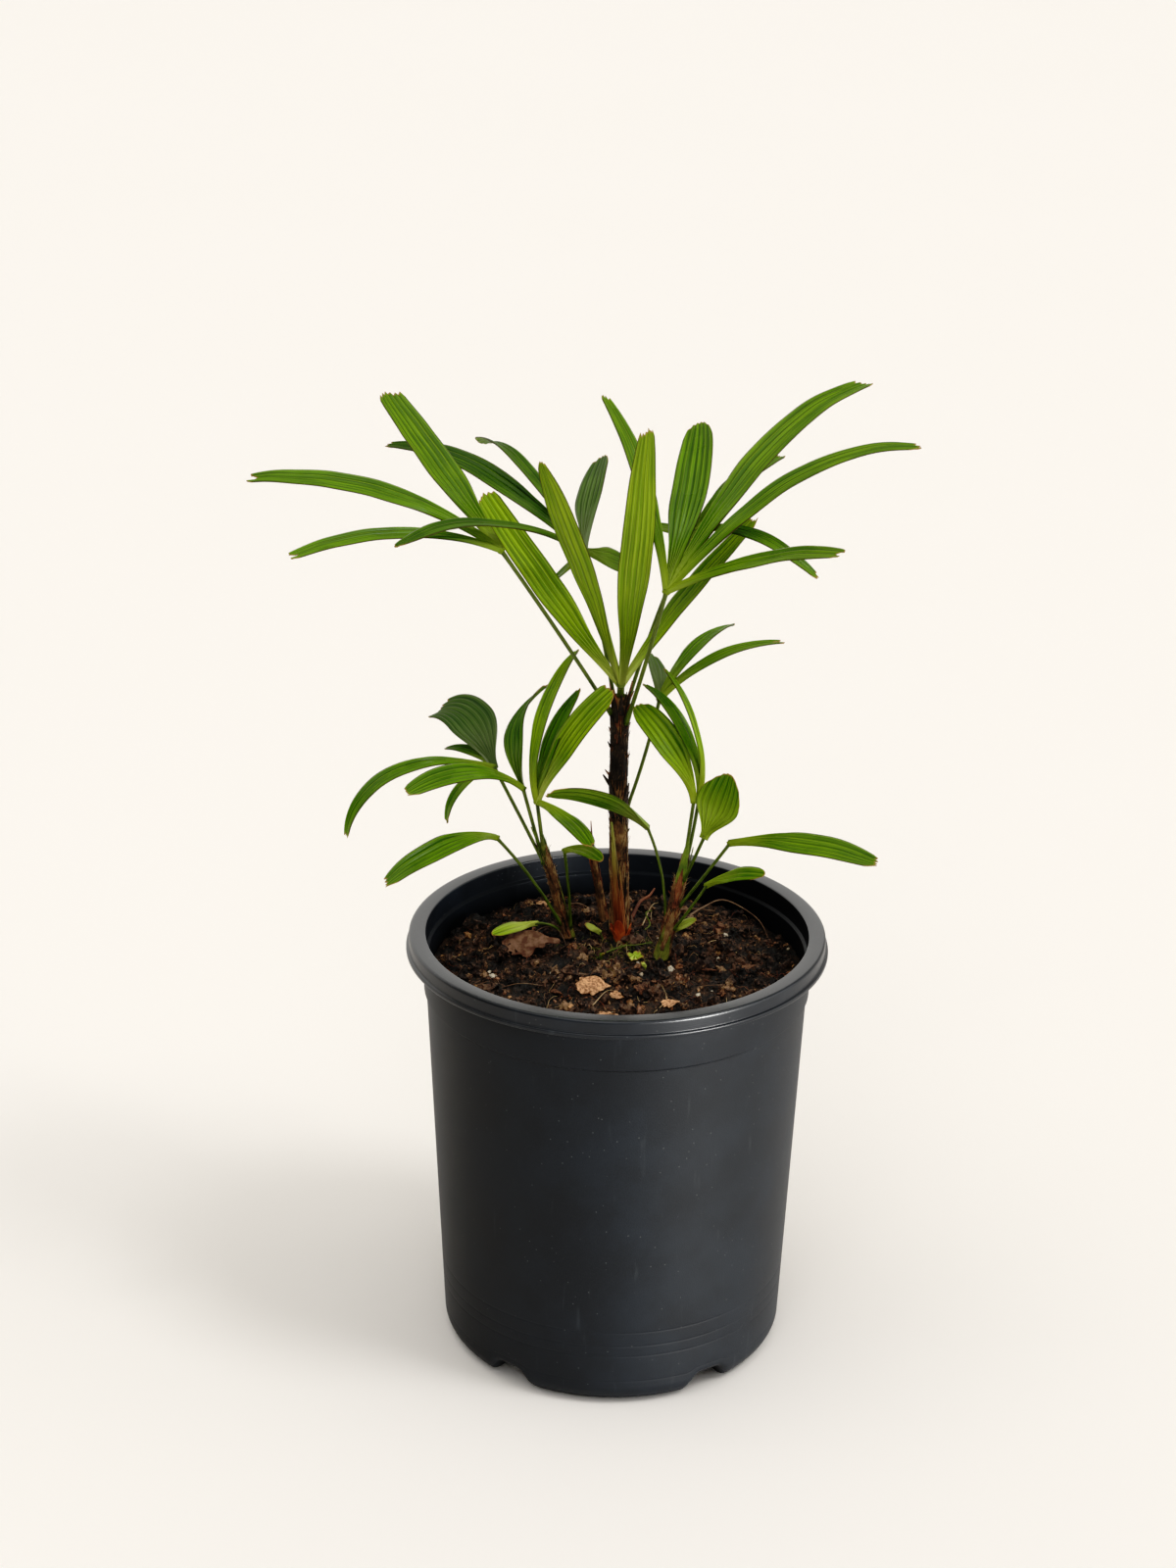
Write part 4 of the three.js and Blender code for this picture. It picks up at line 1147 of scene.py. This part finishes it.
# Leaf bases wrapped round the canes: lowest and highest part, bearing, half spread in degrees, lift of the
# top, how round the top is from 0 to 1, finish.
CANE_SCALES = {
    "main_cane": [
        (0.9, 1.02, 230, 34, 1.2, 0, "dark"),
        (0.93, 1.03, 275, 22, 1.5, 0, "dark"),
        (0.9, 1.03, 330, 34, 1.5, 0, "dark"),
        (0.92, 1.06, 15, 30, 1.8, 0, "red"),
        (0.9, 1.03, 80, 40, 1.3, 0, "dark"),
        (0.91, 1.05, 165, 34, 1.6, 0, "red"),
        (0.8, 0.93, 200, 90, 0.9, 0.2, "dark"),
        (0.78, 0.92, 330, 80, 0.9, 0.1, "dark"),
        (0.66, 0.82, 260, 90, 0.8, 0.2, "dark"),
        (0.64, 0.79, 80, 90, 0.8, 0.2, "dark"),
        (0.5, 0.68, 190, 90, 0.9, 0.1, "dark"),
        (0.47, 0.64, 350, 90, 0.8, 0.2, "dark"),
        (0.32, 0.5, 265, 95, 0.7, 0.2, "core"),
        (0.3, 0.47, 100, 90, 0.7, 0.2, "dark"),
        (0.14, 0.33, 200, 90, 0.7, 0.2, "core"),
        (0.1, 0.3, 20, 90, 0.7, 0.1, "core"),
        (0.0, 0.16, 250, 100, 0.6, 0.2, "core"),
        (0.0, 0.14, 80, 100, 0.6, 0.2, "core"),
    ],
    "left_cane": [
        (0.0, 0.66, 342, 34, 0.4, 0, "olive"),
        (0.0, 0.35, 215, 70, 0.5, 0.1, "core"),
        (0.0, 0.4, 100, 80, 0.5, 0.1, "core"),
        (0.3, 0.72, 230, 80, 0.6, 0, "core"),
        (0.55, 1.0, 300, 80, 0.5, 0, "core"),
        (0.6, 1.05, 160, 80, 0.8, 0, "core"),
        (0.8, 1.16, 285, 60, 0.5, 0, "olive"),
        (0.86, 1.22, 200, 50, 0.6, 0, "green"),
        (0.86, 1.18, 60, 70, 0.6, 0, "green"),
    ],
    "short_cane": [
        (0.0, 0.6, 250, 90, 0.5, 0, "core"),
        (0.0, 0.7, 60, 90, 0.5, 0, "core"),
        (0.4, 1.05, 280, 60, 0.6, 0, "core"),
        (0.5, 0.95, 190, 40, 0.7, 0, "red"),
    ],
    "right_cane": [
        (0.0, 0.34, 225, 44, 0.4, 0, "olive"),
        (0.0, 0.26, 290, 40, 0.6, 0, "olive"),
        (0.0, 0.4, 20, 60, 0.5, 0, "core"),
        (0.0, 0.4, 130, 70, 0.4, 0, "core"),
        (0.1, 0.5, 265, 70, 0.5, 0, "core"),
        (0.18, 0.6, 90, 90, 0.5, 0, "core"),
        (0.4, 0.84, 330, 70, 0.7, 0, "core"),
        (0.36, 0.8, 200, 80, 0.6, 0, "core"),
        (0.5, 0.9, 262, 60, 0.6, 0, "red"),
        (0.7, 1.22, 262, 70, 0.3, 0, "green"),
        (0.7, 1.18, 85, 80, 0.4, 0, "green"),
        (0.66, 1.08, 350, 40, 0.7, 0, "olive"),
    ],
    "new_shoot": [
        (0.0, 0.9, 235, 100, 0.3, 0, "spear"),
        (0.0, 0.64, 335, 70, 0.8, 0, "spear"),
        (0.0, 0.56, 190, 60, 0.7, 0, "spear"),
        (0.0, 0.4, 285, 60, 0.9, 0, "spear"),
        (-0.03, 0.2, 262, 50, 2.6, 0.7, "bract"),
        (-0.03, 0.14, 226, 30, 4.6, 0.3, "bract"),
        (-0.03, 0.13, 318, 28, 4.4, 0.2, "bract"),
        (-0.03, 0.15, 350, 40, 2.8, 0.5, "bract"),
        (-0.03, 0.13, 170, 50, 2.2, 0.6, "bract"),
    ],
}


def add_strand(shape, rng, cane, low, high, length, lift, thickness, finish):
    """A fibre along a cane, its upper end worked loose."""
    start = rng.uniform(low, high)
    reach = length * rng.uniform(0.5, 1.3)
    bearing, drift = rng.uniform(0, 360), rng.normal(0, 14)
    loose = lift * rng.random() ** 2 * 1.6
    part = np.linspace(0, 1, FIBRE_POINTS)
    line = beside_cane(cane, start + reach * part, bearing + drift * part, 0.35 + loose * part**3)
    shape.tube(line, thickness * (1 - 0.85 * part), 4, CANE_FINISHES.index(finish))


def add_spike(shape, cane, low, bearing, length, rise, thickness, finish):
    """A stiff stub that leaves the cane and turns up."""
    part = np.linspace(0, 1, FIBRE_POINTS)
    out = -thickness + length * part**1.2 * 0.55
    line = beside_cane(cane, low + 0 * part, bearing + 0 * part, out)
    line[:, 2] += rise * part**1.5
    shape.tube(line, thickness * (1.15 - part) ** 0.8, 6, CANE_FINISHES.index(finish))


def add_scale(shape, rng, cane, low, high, bearing, spread, lift, roundness, finish):
    """A leaf base wrapped round a cane: drawn to a point or rounded off, its torn top leaning out."""
    side = np.linspace(-1, 1, SCALE_COLUMNS)
    torn = 1 - 0.1 * rng.random(SCALE_COLUMNS) * (1 - roundness)
    part = np.linspace(0, 1, SCALE_ROWS)[:, None] * torn
    narrow = lerp(np.clip(1 - part**1.4, 0, 1), np.sqrt(np.clip(1 - part**3, 0, 1)), roundness)
    angle = bearing + spread * side * np.maximum(narrow, 0.06)
    along = low + (high - low) * part
    ripple = 0.16 * field(np.stack([angle / 14, along * 9, np.full_like(along, bearing)], axis=-1), 1.0)
    out = 0.1 + lift * part**2 + ripple
    thick = 0.45 - 0.25 * np.abs(side)
    outer = beside_cane(cane, along, angle, out + thick)
    inner = beside_cane(cane, along, angle, out - 0.1)
    foot, tip = CANES[cane][0], CANES[cane][1]
    uvs = np.stack([angle / 14, along * (tip[2] - foot[2])], axis=-1)
    shape.slab(outer, inner, uvs, uvs, [CANE_FINISHES.index(finish)] * 3)


def make_cane(name, palette, slot, seed):
    """A cane with its coat: the core, the leaf bases round it, their loose fibres and their stubs."""
    rng = np.random.default_rng(seed)
    shape = Shape()
    line, radius = cane_point(name, np.linspace(0, 1, CANE_STEPS + 1))
    angle = np.arange(CANE_SIDES) * FULL_TURN / CANE_SIDES
    ring = np.stack([np.cos(angle), np.sin(angle), np.zeros(CANE_SIDES)], axis=-1)
    place = line[:, None] + ring * radius[:, None, None]
    stretched = place * [1, 1, 0.12]
    bumps = 0.1 * field(stretched, 1.3, seed) + 0.08 * field(place, 3.5, seed + 5)
    finish = CANE_FINISHES.index("spear" if name == "new_shoot" else "core")
    shape.tube(line, radius * CANE_CORE, CANE_SIDES, finish, bumps=bumps)
    for scale in CANE_SCALES[name]:
        add_scale(shape, rng, name, *scale)
    for spike in CANE_SPIKES[name]:
        add_spike(shape, name, *spike)
    for count, *strand in CANE_STRANDS[name]:
        for _ in range(count):
            add_strand(shape, rng, name, *strand)
    cane = shape.make(name + "_stem", [palette[finish] for finish in CANE_FINISHES])
    hand_over(cane, slot, name)


# ---- Fronds -------------------------------------------------------------------------------------------

BLADE_ROWS = 56
FOLD_WIDTH = 3.3  # between two ribs at the broadest
FOLD_COLUMNS = 6
FOLD_DEPTH = 0.85
BLADE_TROUGH = 0.1  # how hollow its face is, as a part of its width
BLADE_ROOT_WIDTH = 0.15  # at the hub, as a part of its width
BLADE_TAPER = 2.4
BLADE_THICKNESS = 0.32
BLADE_SINK = 1.0  # how far it starts inside its stalk
STALK_STEPS = 28
STALK_SIDES = 12


def blade(azimuth, rise, length, width, droop, swing, twist, bend=1, tip="toothed", tone="mature"):
    """A leaflet: the way it leaves the hub and how it bends, as in the solid, with its tip and its green."""
    return dict(
        azimuth=azimuth, rise=rise, length=length, width=width, droop=droop, swing=swing, twist=twist,
        bend=bend, tip=tip, tone=tone,
    )


# Cane, height on it, side that the stalk leaves towards, hub, bow of the stalk's middle, its radius, blades.
FRONDS = {
    "main_frond_front": ("main_cane", 128, None, (0, 17, 348), (0, 0, 0), 2.2, [
        blade(153, 46, 118, 17, -6, 2, 25, tip="blunt", tone="young"),
        blade(199, 74, 138, 16, 16, 44, -10, tip="point", tone="young"),
        blade(286, 70, 144, 19, -14, 4, -15, tone="young"),
        blade(21, 56, 108, 16, 19, 10, 0, tone="young"),
    ]),
    "main_frond_left": ("main_cane", 119, 190, (-59, 12, 419), (2, -2, 0), 1.2, [
        blade(181, 38, 133, 18, 49, -14, 10, tip="forked"),
        blade(126, 29, 117, 20, 0, 0, -5, tip="blunt", tone="bright"),
        blade(207, 27, 113, 15, 44, -3, 5, tip="forked"),
    ]),
    "main_frond_back_left": ("main_cane", 118, 115, (-19, 35, 412), (1, 10, 0), 1.2, [
        blade(147, 32, 126, 18, 46, 5, 5, 2, tone="deep"),
        blade(144, 47, 100, 14, 74, -28, -20, 2, tip="blunt", tone="deep"),
        blade(204, 33, 123, 13, 43, 32, 5, tip="point", tone="deep"),
        blade(88, 49, 66, 17, 37, -13, 35, tip="round", tone="dull"),
        blade(26, -19, 34, 16, 18, 0, -30, tone="deep"),
        blade(130, -48, 34, 12, -15, 0, 35, tip="point"),
    ]),
    "main_frond_right": ("main_cane", 115, 320, (21, 0, 403), (1, -2, 0), 1.3, [
        blade(122, 78, 110, 14, 55, -7, -25, tone="bright"),
        blade(67, 55, 105, 20, 35, 21, 20, tip="round", tone="mature"),
        blade(38, 49, 159, 20, 49, 2, 5, 2, tip="blunt", tone="bright"),
        blade(19, 46, 146, 17, 49, -25, -5, 2, tone="bright"),
        blade(342, 31, 110, 16, 20, -39, -15, tip="forked", tone="bright"),
    ]),
    "main_frond_back_right": ("main_cane", 120, 50, (33, 32, 421), (-2, 9, 0), 1.2, [
        blade(331, 56, 74, 15, 101, 16, 0, 0.5),
        blade(132, 3, 31, 12, 8, 0, 0, tip="point"),
        blade(85, 28, 84, 16, 20, 0, 30),
        blade(48, 40, 78, 15, 40, 0, 10),
    ]),
    "main_frond_low_right": ("main_cane", 66, 30, (20, 45, 331), (1, -1, -4), 1.1, [
        blade(89, 48, 35, 14, 46, 19, -40, tip="round", tone="dull"),
        blade(45, 54, 73, 14, 70, 14, 20, tip="point"),
        blade(25, 43, 77, 12, 54, 0, 5, tip="forked", tone="bright"),
    ]),
    "left_frond_top": ("left_cane", 52, None, (-41, 14, 287), (0, 0, 0), 1.2, [
        blade(51, 111, 92, 13, 104, 13, 30, tip="point", tone="fresh"),
        blade(47, 85, 63, 14, 48, -4, 15, tip="point"),
        blade(350, 73, 75, 17, 28, -6, -45, tip="blunt", tone="young"),
        blade(311, 3, 53, 13, 18, -19, 10, tone="bright"),
    ]),
    "left_frond_middle": ("left_cane", 42, 200, (-48, 12, 295), (0, 0, 0), 1.1, [
        blade(226, 41, 85, 16, 55, 0, 15),
        blade(133, 58, 63, 14, 32, -110, 40, tip="round", tone="deep"),
    ]),
    "left_frond_back": ("left_cane", 36, 130, (-63, 28, 300), (0, 2, 0), 1.1, [
        blade(213, 20, 101, 14, 113, -10, 0, 2),
        blade(125, 53, 56, 26, 104, 17, 15, 2, tip="blunt", tone="dull"),
        blade(135, 29, 36, 9, 58, 8, 5, tip="point", tone="deep"),
        blade(196, -7, 41, 10, 84, 3, 0, tip="round"),
    ]),
    "left_frond_outer": ("left_cane", 8, 230, (-61, 5, 271), (3, -3, 4), 1, [
        blade(239, 28, 79, 17, 63, -30, 5),
    ]),
    "left_frond_inner": ("left_cane", 6, 330, (-27, 8, 263), (1, 0, 0), 0.9, [
        blade(318, 33, 29, 9, 53, -10, -15, tip="round", tone="bright"),
    ]),
    "left_frond_low": ("left_cane", 4, 205, (-41, 10, 222), (0, 0, 3), 0.9, [
        blade(220, 14, 29, 8, 20, 0, 15, tip="round", tone="young"),
    ]),
    "right_frond_broad": ("right_cane", 55, None, (37, 3, 293), (0, 0, 0), 1.1, [
        blade(168, 82, 61, 17, 72, -48, 15, tip="round", tone="fresh"),
    ]),
    "right_frond_slender": ("right_cane", 46, 60, (40, 6, 296), (1, 1, 0), 1.1, [
        blade(140, 90, 69, 12, 85, -11, -15, tip="point"),
        blade(144, 103, 71, 9, 81, -21, -30, tip="point", tone="fresh"),
    ]),
    "right_frond_folded": ("right_cane", 42, 310, (42, -12, 280), (0, -1, 0), 1, [
        blade(36, 60, 34, 26, -9, 0, -15, tip="round", tone="bright"),
    ]),
    "right_frond_outer": ("right_cane", 28, 330, (55, -10, 276), (0, -1, 0), 1, [
        blade(327, 21, 82, 17, 32, 6, -15, tone="bright"),
    ]),
    "right_frond_low": ("right_cane", 16, 320, (44, -10, 253), (1, 0, 0), 0.9, [
        blade(322, 39, 41, 10, 28, -9, -30, tip="round", tone="bright"),
    ]),
    "right_frond_inner": ("right_cane", 22, 165, (14, 0, 280), (4, 2, 3), 0.9, [
        blade(207, 47, 64, 14, 43, 0, -45, tip="round", tone="mature"),
    ]),
    "right_frond_sprout": ("right_cane", 5, 20, (27, -4, 224), (0, 0, 0), 0.8, [
        blade(350, 52, 16, 6, 36, 0, -25, tip="round", tone="young"),
    ]),
}

# How a leaflet ends: width of its tip and rounding of its end, as parts of the full width, and the depths of
# its teeth and of the cleft in its middle.
TIPS = {
    "toothed": (0.4, 0.2, 2.2, 0),
    "blunt": (0.72, 0.25, 1.9, 0),
    "round": (0.55, 0.7, 0.5, 0),
    "point": (0.16, 0.4, 1.0, 0),
    "forked": (0.5, 0.25, 1.4, 6),
}


def blade_frame(leaf, along):
    """Directions along a leaflet, across it and out of its face, at parts of its length."""
    azimuth = np.radians(leaf["azimuth"] + leaf["swing"] * along)
    rise = np.radians(leaf["rise"] - leaf["droop"] * along ** leaf["bend"])
    level = np.cos(rise)
    forward = np.stack([level * np.cos(azimuth), level * np.sin(azimuth), np.sin(rise)], axis=-1)
    across = np.stack([-np.sin(azimuth), np.cos(azimuth), np.zeros_like(azimuth)], axis=-1)
    across = turned_about(across, forward, -math.radians(leaf["twist"]))
    return forward, across, np.cross(forward, across)


def midrib(hub, leaf, along):
    """Places on a leaflet's middle line, which starts a little way inside its stalk."""
    steps = 240
    middles = (np.arange(steps) + 0.5) / steps
    forward, _, _ = blade_frame(leaf, middles)
    walked = np.cumsum(forward, axis=0) * leaf["length"] / steps
    line = np.vstack([np.zeros(3), walked]) + np.array(hub, float)
    marks = np.linspace(0, 1, steps + 1)
    point = np.stack([np.interp(along, marks, line[:, i]) for i in range(3)], axis=-1)
    root, _, _ = blade_frame(leaf, np.zeros(1))
    return point - root[0] * BLADE_SINK * np.clip(1 - along * 20, 0, 1)[..., None]


def add_blade(shape, hub, leaf, finishes, seed):
    """One leaflet: a thin solid pleated along its ribs, with its tip cut into short teeth."""
    rng = np.random.default_rng(seed)
    folds = max(2, round(leaf["width"] / FOLD_WIDTH))
    columns = folds * FOLD_COLUMNS + 1
    tip_width, rounding, tooth, fork = TIPS[leaf["tip"]]
    length, width = leaf["length"], leaf["width"]
    side = np.linspace(1, -1, columns)
    fold = (side + 1) / 2 * folds
    crest = 1 - np.abs(2 * (fold % 1) - 1)
    depths = rng.uniform(0.4, 1.0, folds + 1) * tooth
    teeth = (1 - crest) * np.interp(fold, np.arange(folds + 1), depths)
    short = np.interp(fold, np.arange(folds) + 0.5, rng.random(folds)) * 0.9 * tooth
    slant = rng.uniform(-0.12, 0.12) * tooth * side
    cleft = fork * np.clip(1 - np.abs(side - rng.uniform(-0.15, 0.15)) / 0.5, 0, 1)
    end_round = rounding * width * (1 - np.sqrt(np.clip(1 - np.abs(side) ** 2.2 * 0.98, 0, 1)))
    reach = 1 - (teeth + short + cleft + end_round + slant) / length
    rows = 1 - (1 - np.linspace(0, 1, BLADE_ROWS)) ** 1.25
    along = rows[:, None] * reach[None, :]
    opening = lerp(BLADE_ROOT_WIDTH, 1, smoothstep(along, 0, 0.5))
    closing = np.maximum(0, 2 * along - 1) ** BLADE_TAPER
    broad = width * opening * lerp(1, tip_width, closing)
    point = midrib(hub, leaf, along)
    _, across, face = blade_frame(leaf, along)
    wave = field(np.stack([along * length, side * 3 + 0 * along, np.full_like(along, seed)], axis=-1), 22.0)
    softened = 0.7 * crest + 0.3 * (0.5 - 0.5 * np.cos(FULL_TURN * fold))
    depth = FOLD_DEPTH * (1 + 2.4 * (1 - opening)) * (1 - 0.4 * closing)
    trough = (np.abs(side) ** 1.3 - 0.5) * BLADE_TROUGH * broad
    lift = trough + depth * (softened - 0.5) + 0.7 * wave * opening
    middle = point + across * (side / 2 * broad)[..., None] + face * lift[..., None]
    half = BLADE_THICKNESS / 2 * face
    uvs = np.stack([np.broadcast_to(fold, along.shape), along * length], axis=-1)
    margin = (1 - np.abs(side)) / 2 * broad
    to_tip = (reach - along) * length
    border = np.stack([margin, to_tip], axis=-1)
    shape.slab(middle + half, middle - half, uvs, border, finishes)


def add_stalk(shape, cane, height, side, hub, bow, radius, finish):
    """A leaf stalk from its cane to the hub of its blades, thicker where it leaves and where it ends."""
    foot, tip = CANES[cane][0], CANES[cane][1]
    start, cane_radius = cane_point(cane, min(1, height / (tip[2] - foot[2])))
    if side is not None:
        angle = math.radians(side)
        start = start + 0.85 * float(cane_radius) * np.array([math.cos(angle), math.sin(angle), 0])
    hub = np.array(hub, float)
    middle = (start + hub) / 2 + np.array(bow, float)
    end = hub + unit(hub - middle) * radius
    line = bent_line(start, middle, end, STALK_STEPS)
    part = np.linspace(0, 1, STALK_STEPS + 1)
    swell = 0.82 + 0.5 * np.clip(1 - part * 8, 0, 1) + 0.2 * smoothstep(part, 0.9, 1)
    shape.tube(line, radius * swell, STALK_SIDES, finish)


def make_frond(name, palette, seed):
    cane, height, side, hub, bow, radius, leaves = FRONDS[name]
    is_young = name == "main_frond_front"
    shape = Shape()
    add_stalk(shape, cane, height, side, hub, bow, radius, 0)
    finishes = ["stalk", "young_under" if is_young else "under"]
    finishes += sorted({leaf["tone"] for leaf in leaves})
    for i, leaf in enumerate(leaves):
        top = finishes.index(leaf["tone"])
        add_blade(shape, hub, leaf, (top, 1, top), seed * 10 + i)
    frond = shape.make(name + "_leaf", [palette[finish] for finish in finishes])
    hand_over(frond, "young_leaf" if is_young else "leaf", name)


# Greens of the leaves: dark stripe, light stripe, rib, roughness of the wax. Undersides are paler and duller.
# The bright, deep and dull tones carry painted light, shade and sheen, as noted at each.
LEAF_TONES = {
    "young": ("#6c9600", "#a2c204", "#eaf084", 0.34),
    "fresh": ("#5c8800", "#94b804", "#ccdc50", 0.3),
    # A lit copy of the mature green: painted light.
    "bright": ("#487400", "#769e02", "#b8cc44", 0.29),
    "mature": ("#446e00", "#709e04", "#acc244", 0.28),
    # Darker partly as an older leaf is, and partly as painted shade.
    "deep": ("#305600", "#568008", "#8ea440", 0.27),
    # Its grey is a painted sheen, on a rougher wax.
    "dull": ("#42602a", "#668440", "#9cab7c", 0.42),
    "under": ("#587e10", "#83a424", "#c0ca6c", 0.5),
    "young_under": ("#7ba012", "#a6c02a", "#d8e078", 0.48),
}


def leaf_palette():
    palette = {tone: leaf_material(tone + "_leaf", *finish) for tone, finish in LEAF_TONES.items()}
    palette["stalk"] = stalk_material("green_stalk", "#37460e", "#71832a")
    return palette


# ---- Seedlings ----------------------------------------------------------------------------------------

# Place among the stems, and the blades that spread from there.
SEEDLINGS = [
    ((-9, 20), [blade(158, 28, 9, 6.5, 10, 0, 0, tip="round", tone="young")]),
    ((9, -10), [
        blade(70, 25, 5.5, 5, 15, 0, 0, tip="round", tone="bright"),
        blade(160, 30, 5, 4.6, 15, 0, 0, tip="round", tone="bright"),
        blade(250, 20, 5.5, 5, 15, 0, 0, tip="round", tone="young"),
        blade(340, 25, 5, 4.5, 15, 0, 0, tip="round", tone="bright"),
    ]),
    ((-8, -8), [blade(300, 50, 4.5, 2.4, 20, 0, 0, tip="round", tone="bright")]),
    ((14, -22), [blade(120, 30, 4, 2.5, 20, 0, 0, tip="round", tone="young")]),
]
SEEDLING_LIFT = 3.2
# Places on the soil and heights over it.
SEEDLING_STEMS = [
    [(-11, -8, 0), (-5, -5, 2.5), (3, 0, 3.5), (11, 5, 3), (18, 9, 1)],
    [(14, 22, 0), (17, 27, 5), (15, 33, 8), (18, 36, 7)],
    [(-6, 14, 0), (-8, 18, 3), (-9, 20, 3)],
    [(9, -10, 0), (9, -10.3, 1.4), (9, -10, 3)],
    [(-8, -8, 0), (-8, -8.2, 1.4), (-8, -8, 3)],
    [(14, -22, 0), (14, -22.2, 1.4), (14, -22, 3)],
]


def make_seedlings(palette):
    shape = Shape()
    finishes = ["stalk", "under", "bright", "young"]
    for index, (place, leaves) in enumerate(SEEDLINGS):
        hub = (*place, float(soil_height(*place)) + SEEDLING_LIFT)
        for i, leaf in enumerate(leaves):
            top = finishes.index(leaf["tone"])
            add_blade(shape, hub, leaf, (top, 1, top), 900 + index * 10 + i)
    for points in SEEDLING_STEMS:
        points = np.array(points, float)
        points[:, 2] += soil_height(points[:, 0], points[:, 1])
        shape.tube(smooth_line(points, 20), np.linspace(0.42, 0.3, 21), 8, 0)
    seedlings = shape.make("seedlings", [palette[finish] for finish in finishes])
    hand_over(seedlings, "leaf")


# ---- The plant ----------------------------------------------------------------------------------------

make_camera()
for lamp_name, lamp_settings in LAMPS.items():
    make_lamp(lamp_name, *lamp_settings)
make_room()
set_tones()
make_floor()
nursery_pot = make_pot()
for lamp_name, lamp_settings in POT_LAMPS.items():
    make_lamp(lamp_name, *lamp_settings, only=nursery_pot)

SOIL_FINISHES = [
    crumb_material("damp_peat", "#120a06", "#654b39"),
    crumb_material("dry_peat", "#2c1a10", "#a3805f"),
    crumb_material("bark_fines", "#3a2215", "#a9795a"),
    crumb_material("pale_bark_fines", "#7a5334", "#c79a6c", 0.8),
    crumb_material("perlite", "#b5a58c", "#e5dcc8", 0.9),
]
PALETTE = leaf_palette()
# The mix under the loose pieces is darker than they are: painted shade in the gaps between them.
make_soil(crumb_material("peat_in_painted_shade", "#0a0503", "#44301f"))
make_crumbs(SOIL_FINISHES)
make_litter()
make_seedlings(PALETTE)

CANE_PALETTE = cane_palette()
for index, cane_name in enumerate(CANES):
    slot_name = "shoot_sheath" if cane_name == "new_shoot" else "cane_fibre"
    make_cane(cane_name, CANE_PALETTE, slot_name, index)

for index, frond_name in enumerate(FRONDS):
    make_frond(frond_name, PALETTE, index + 1)
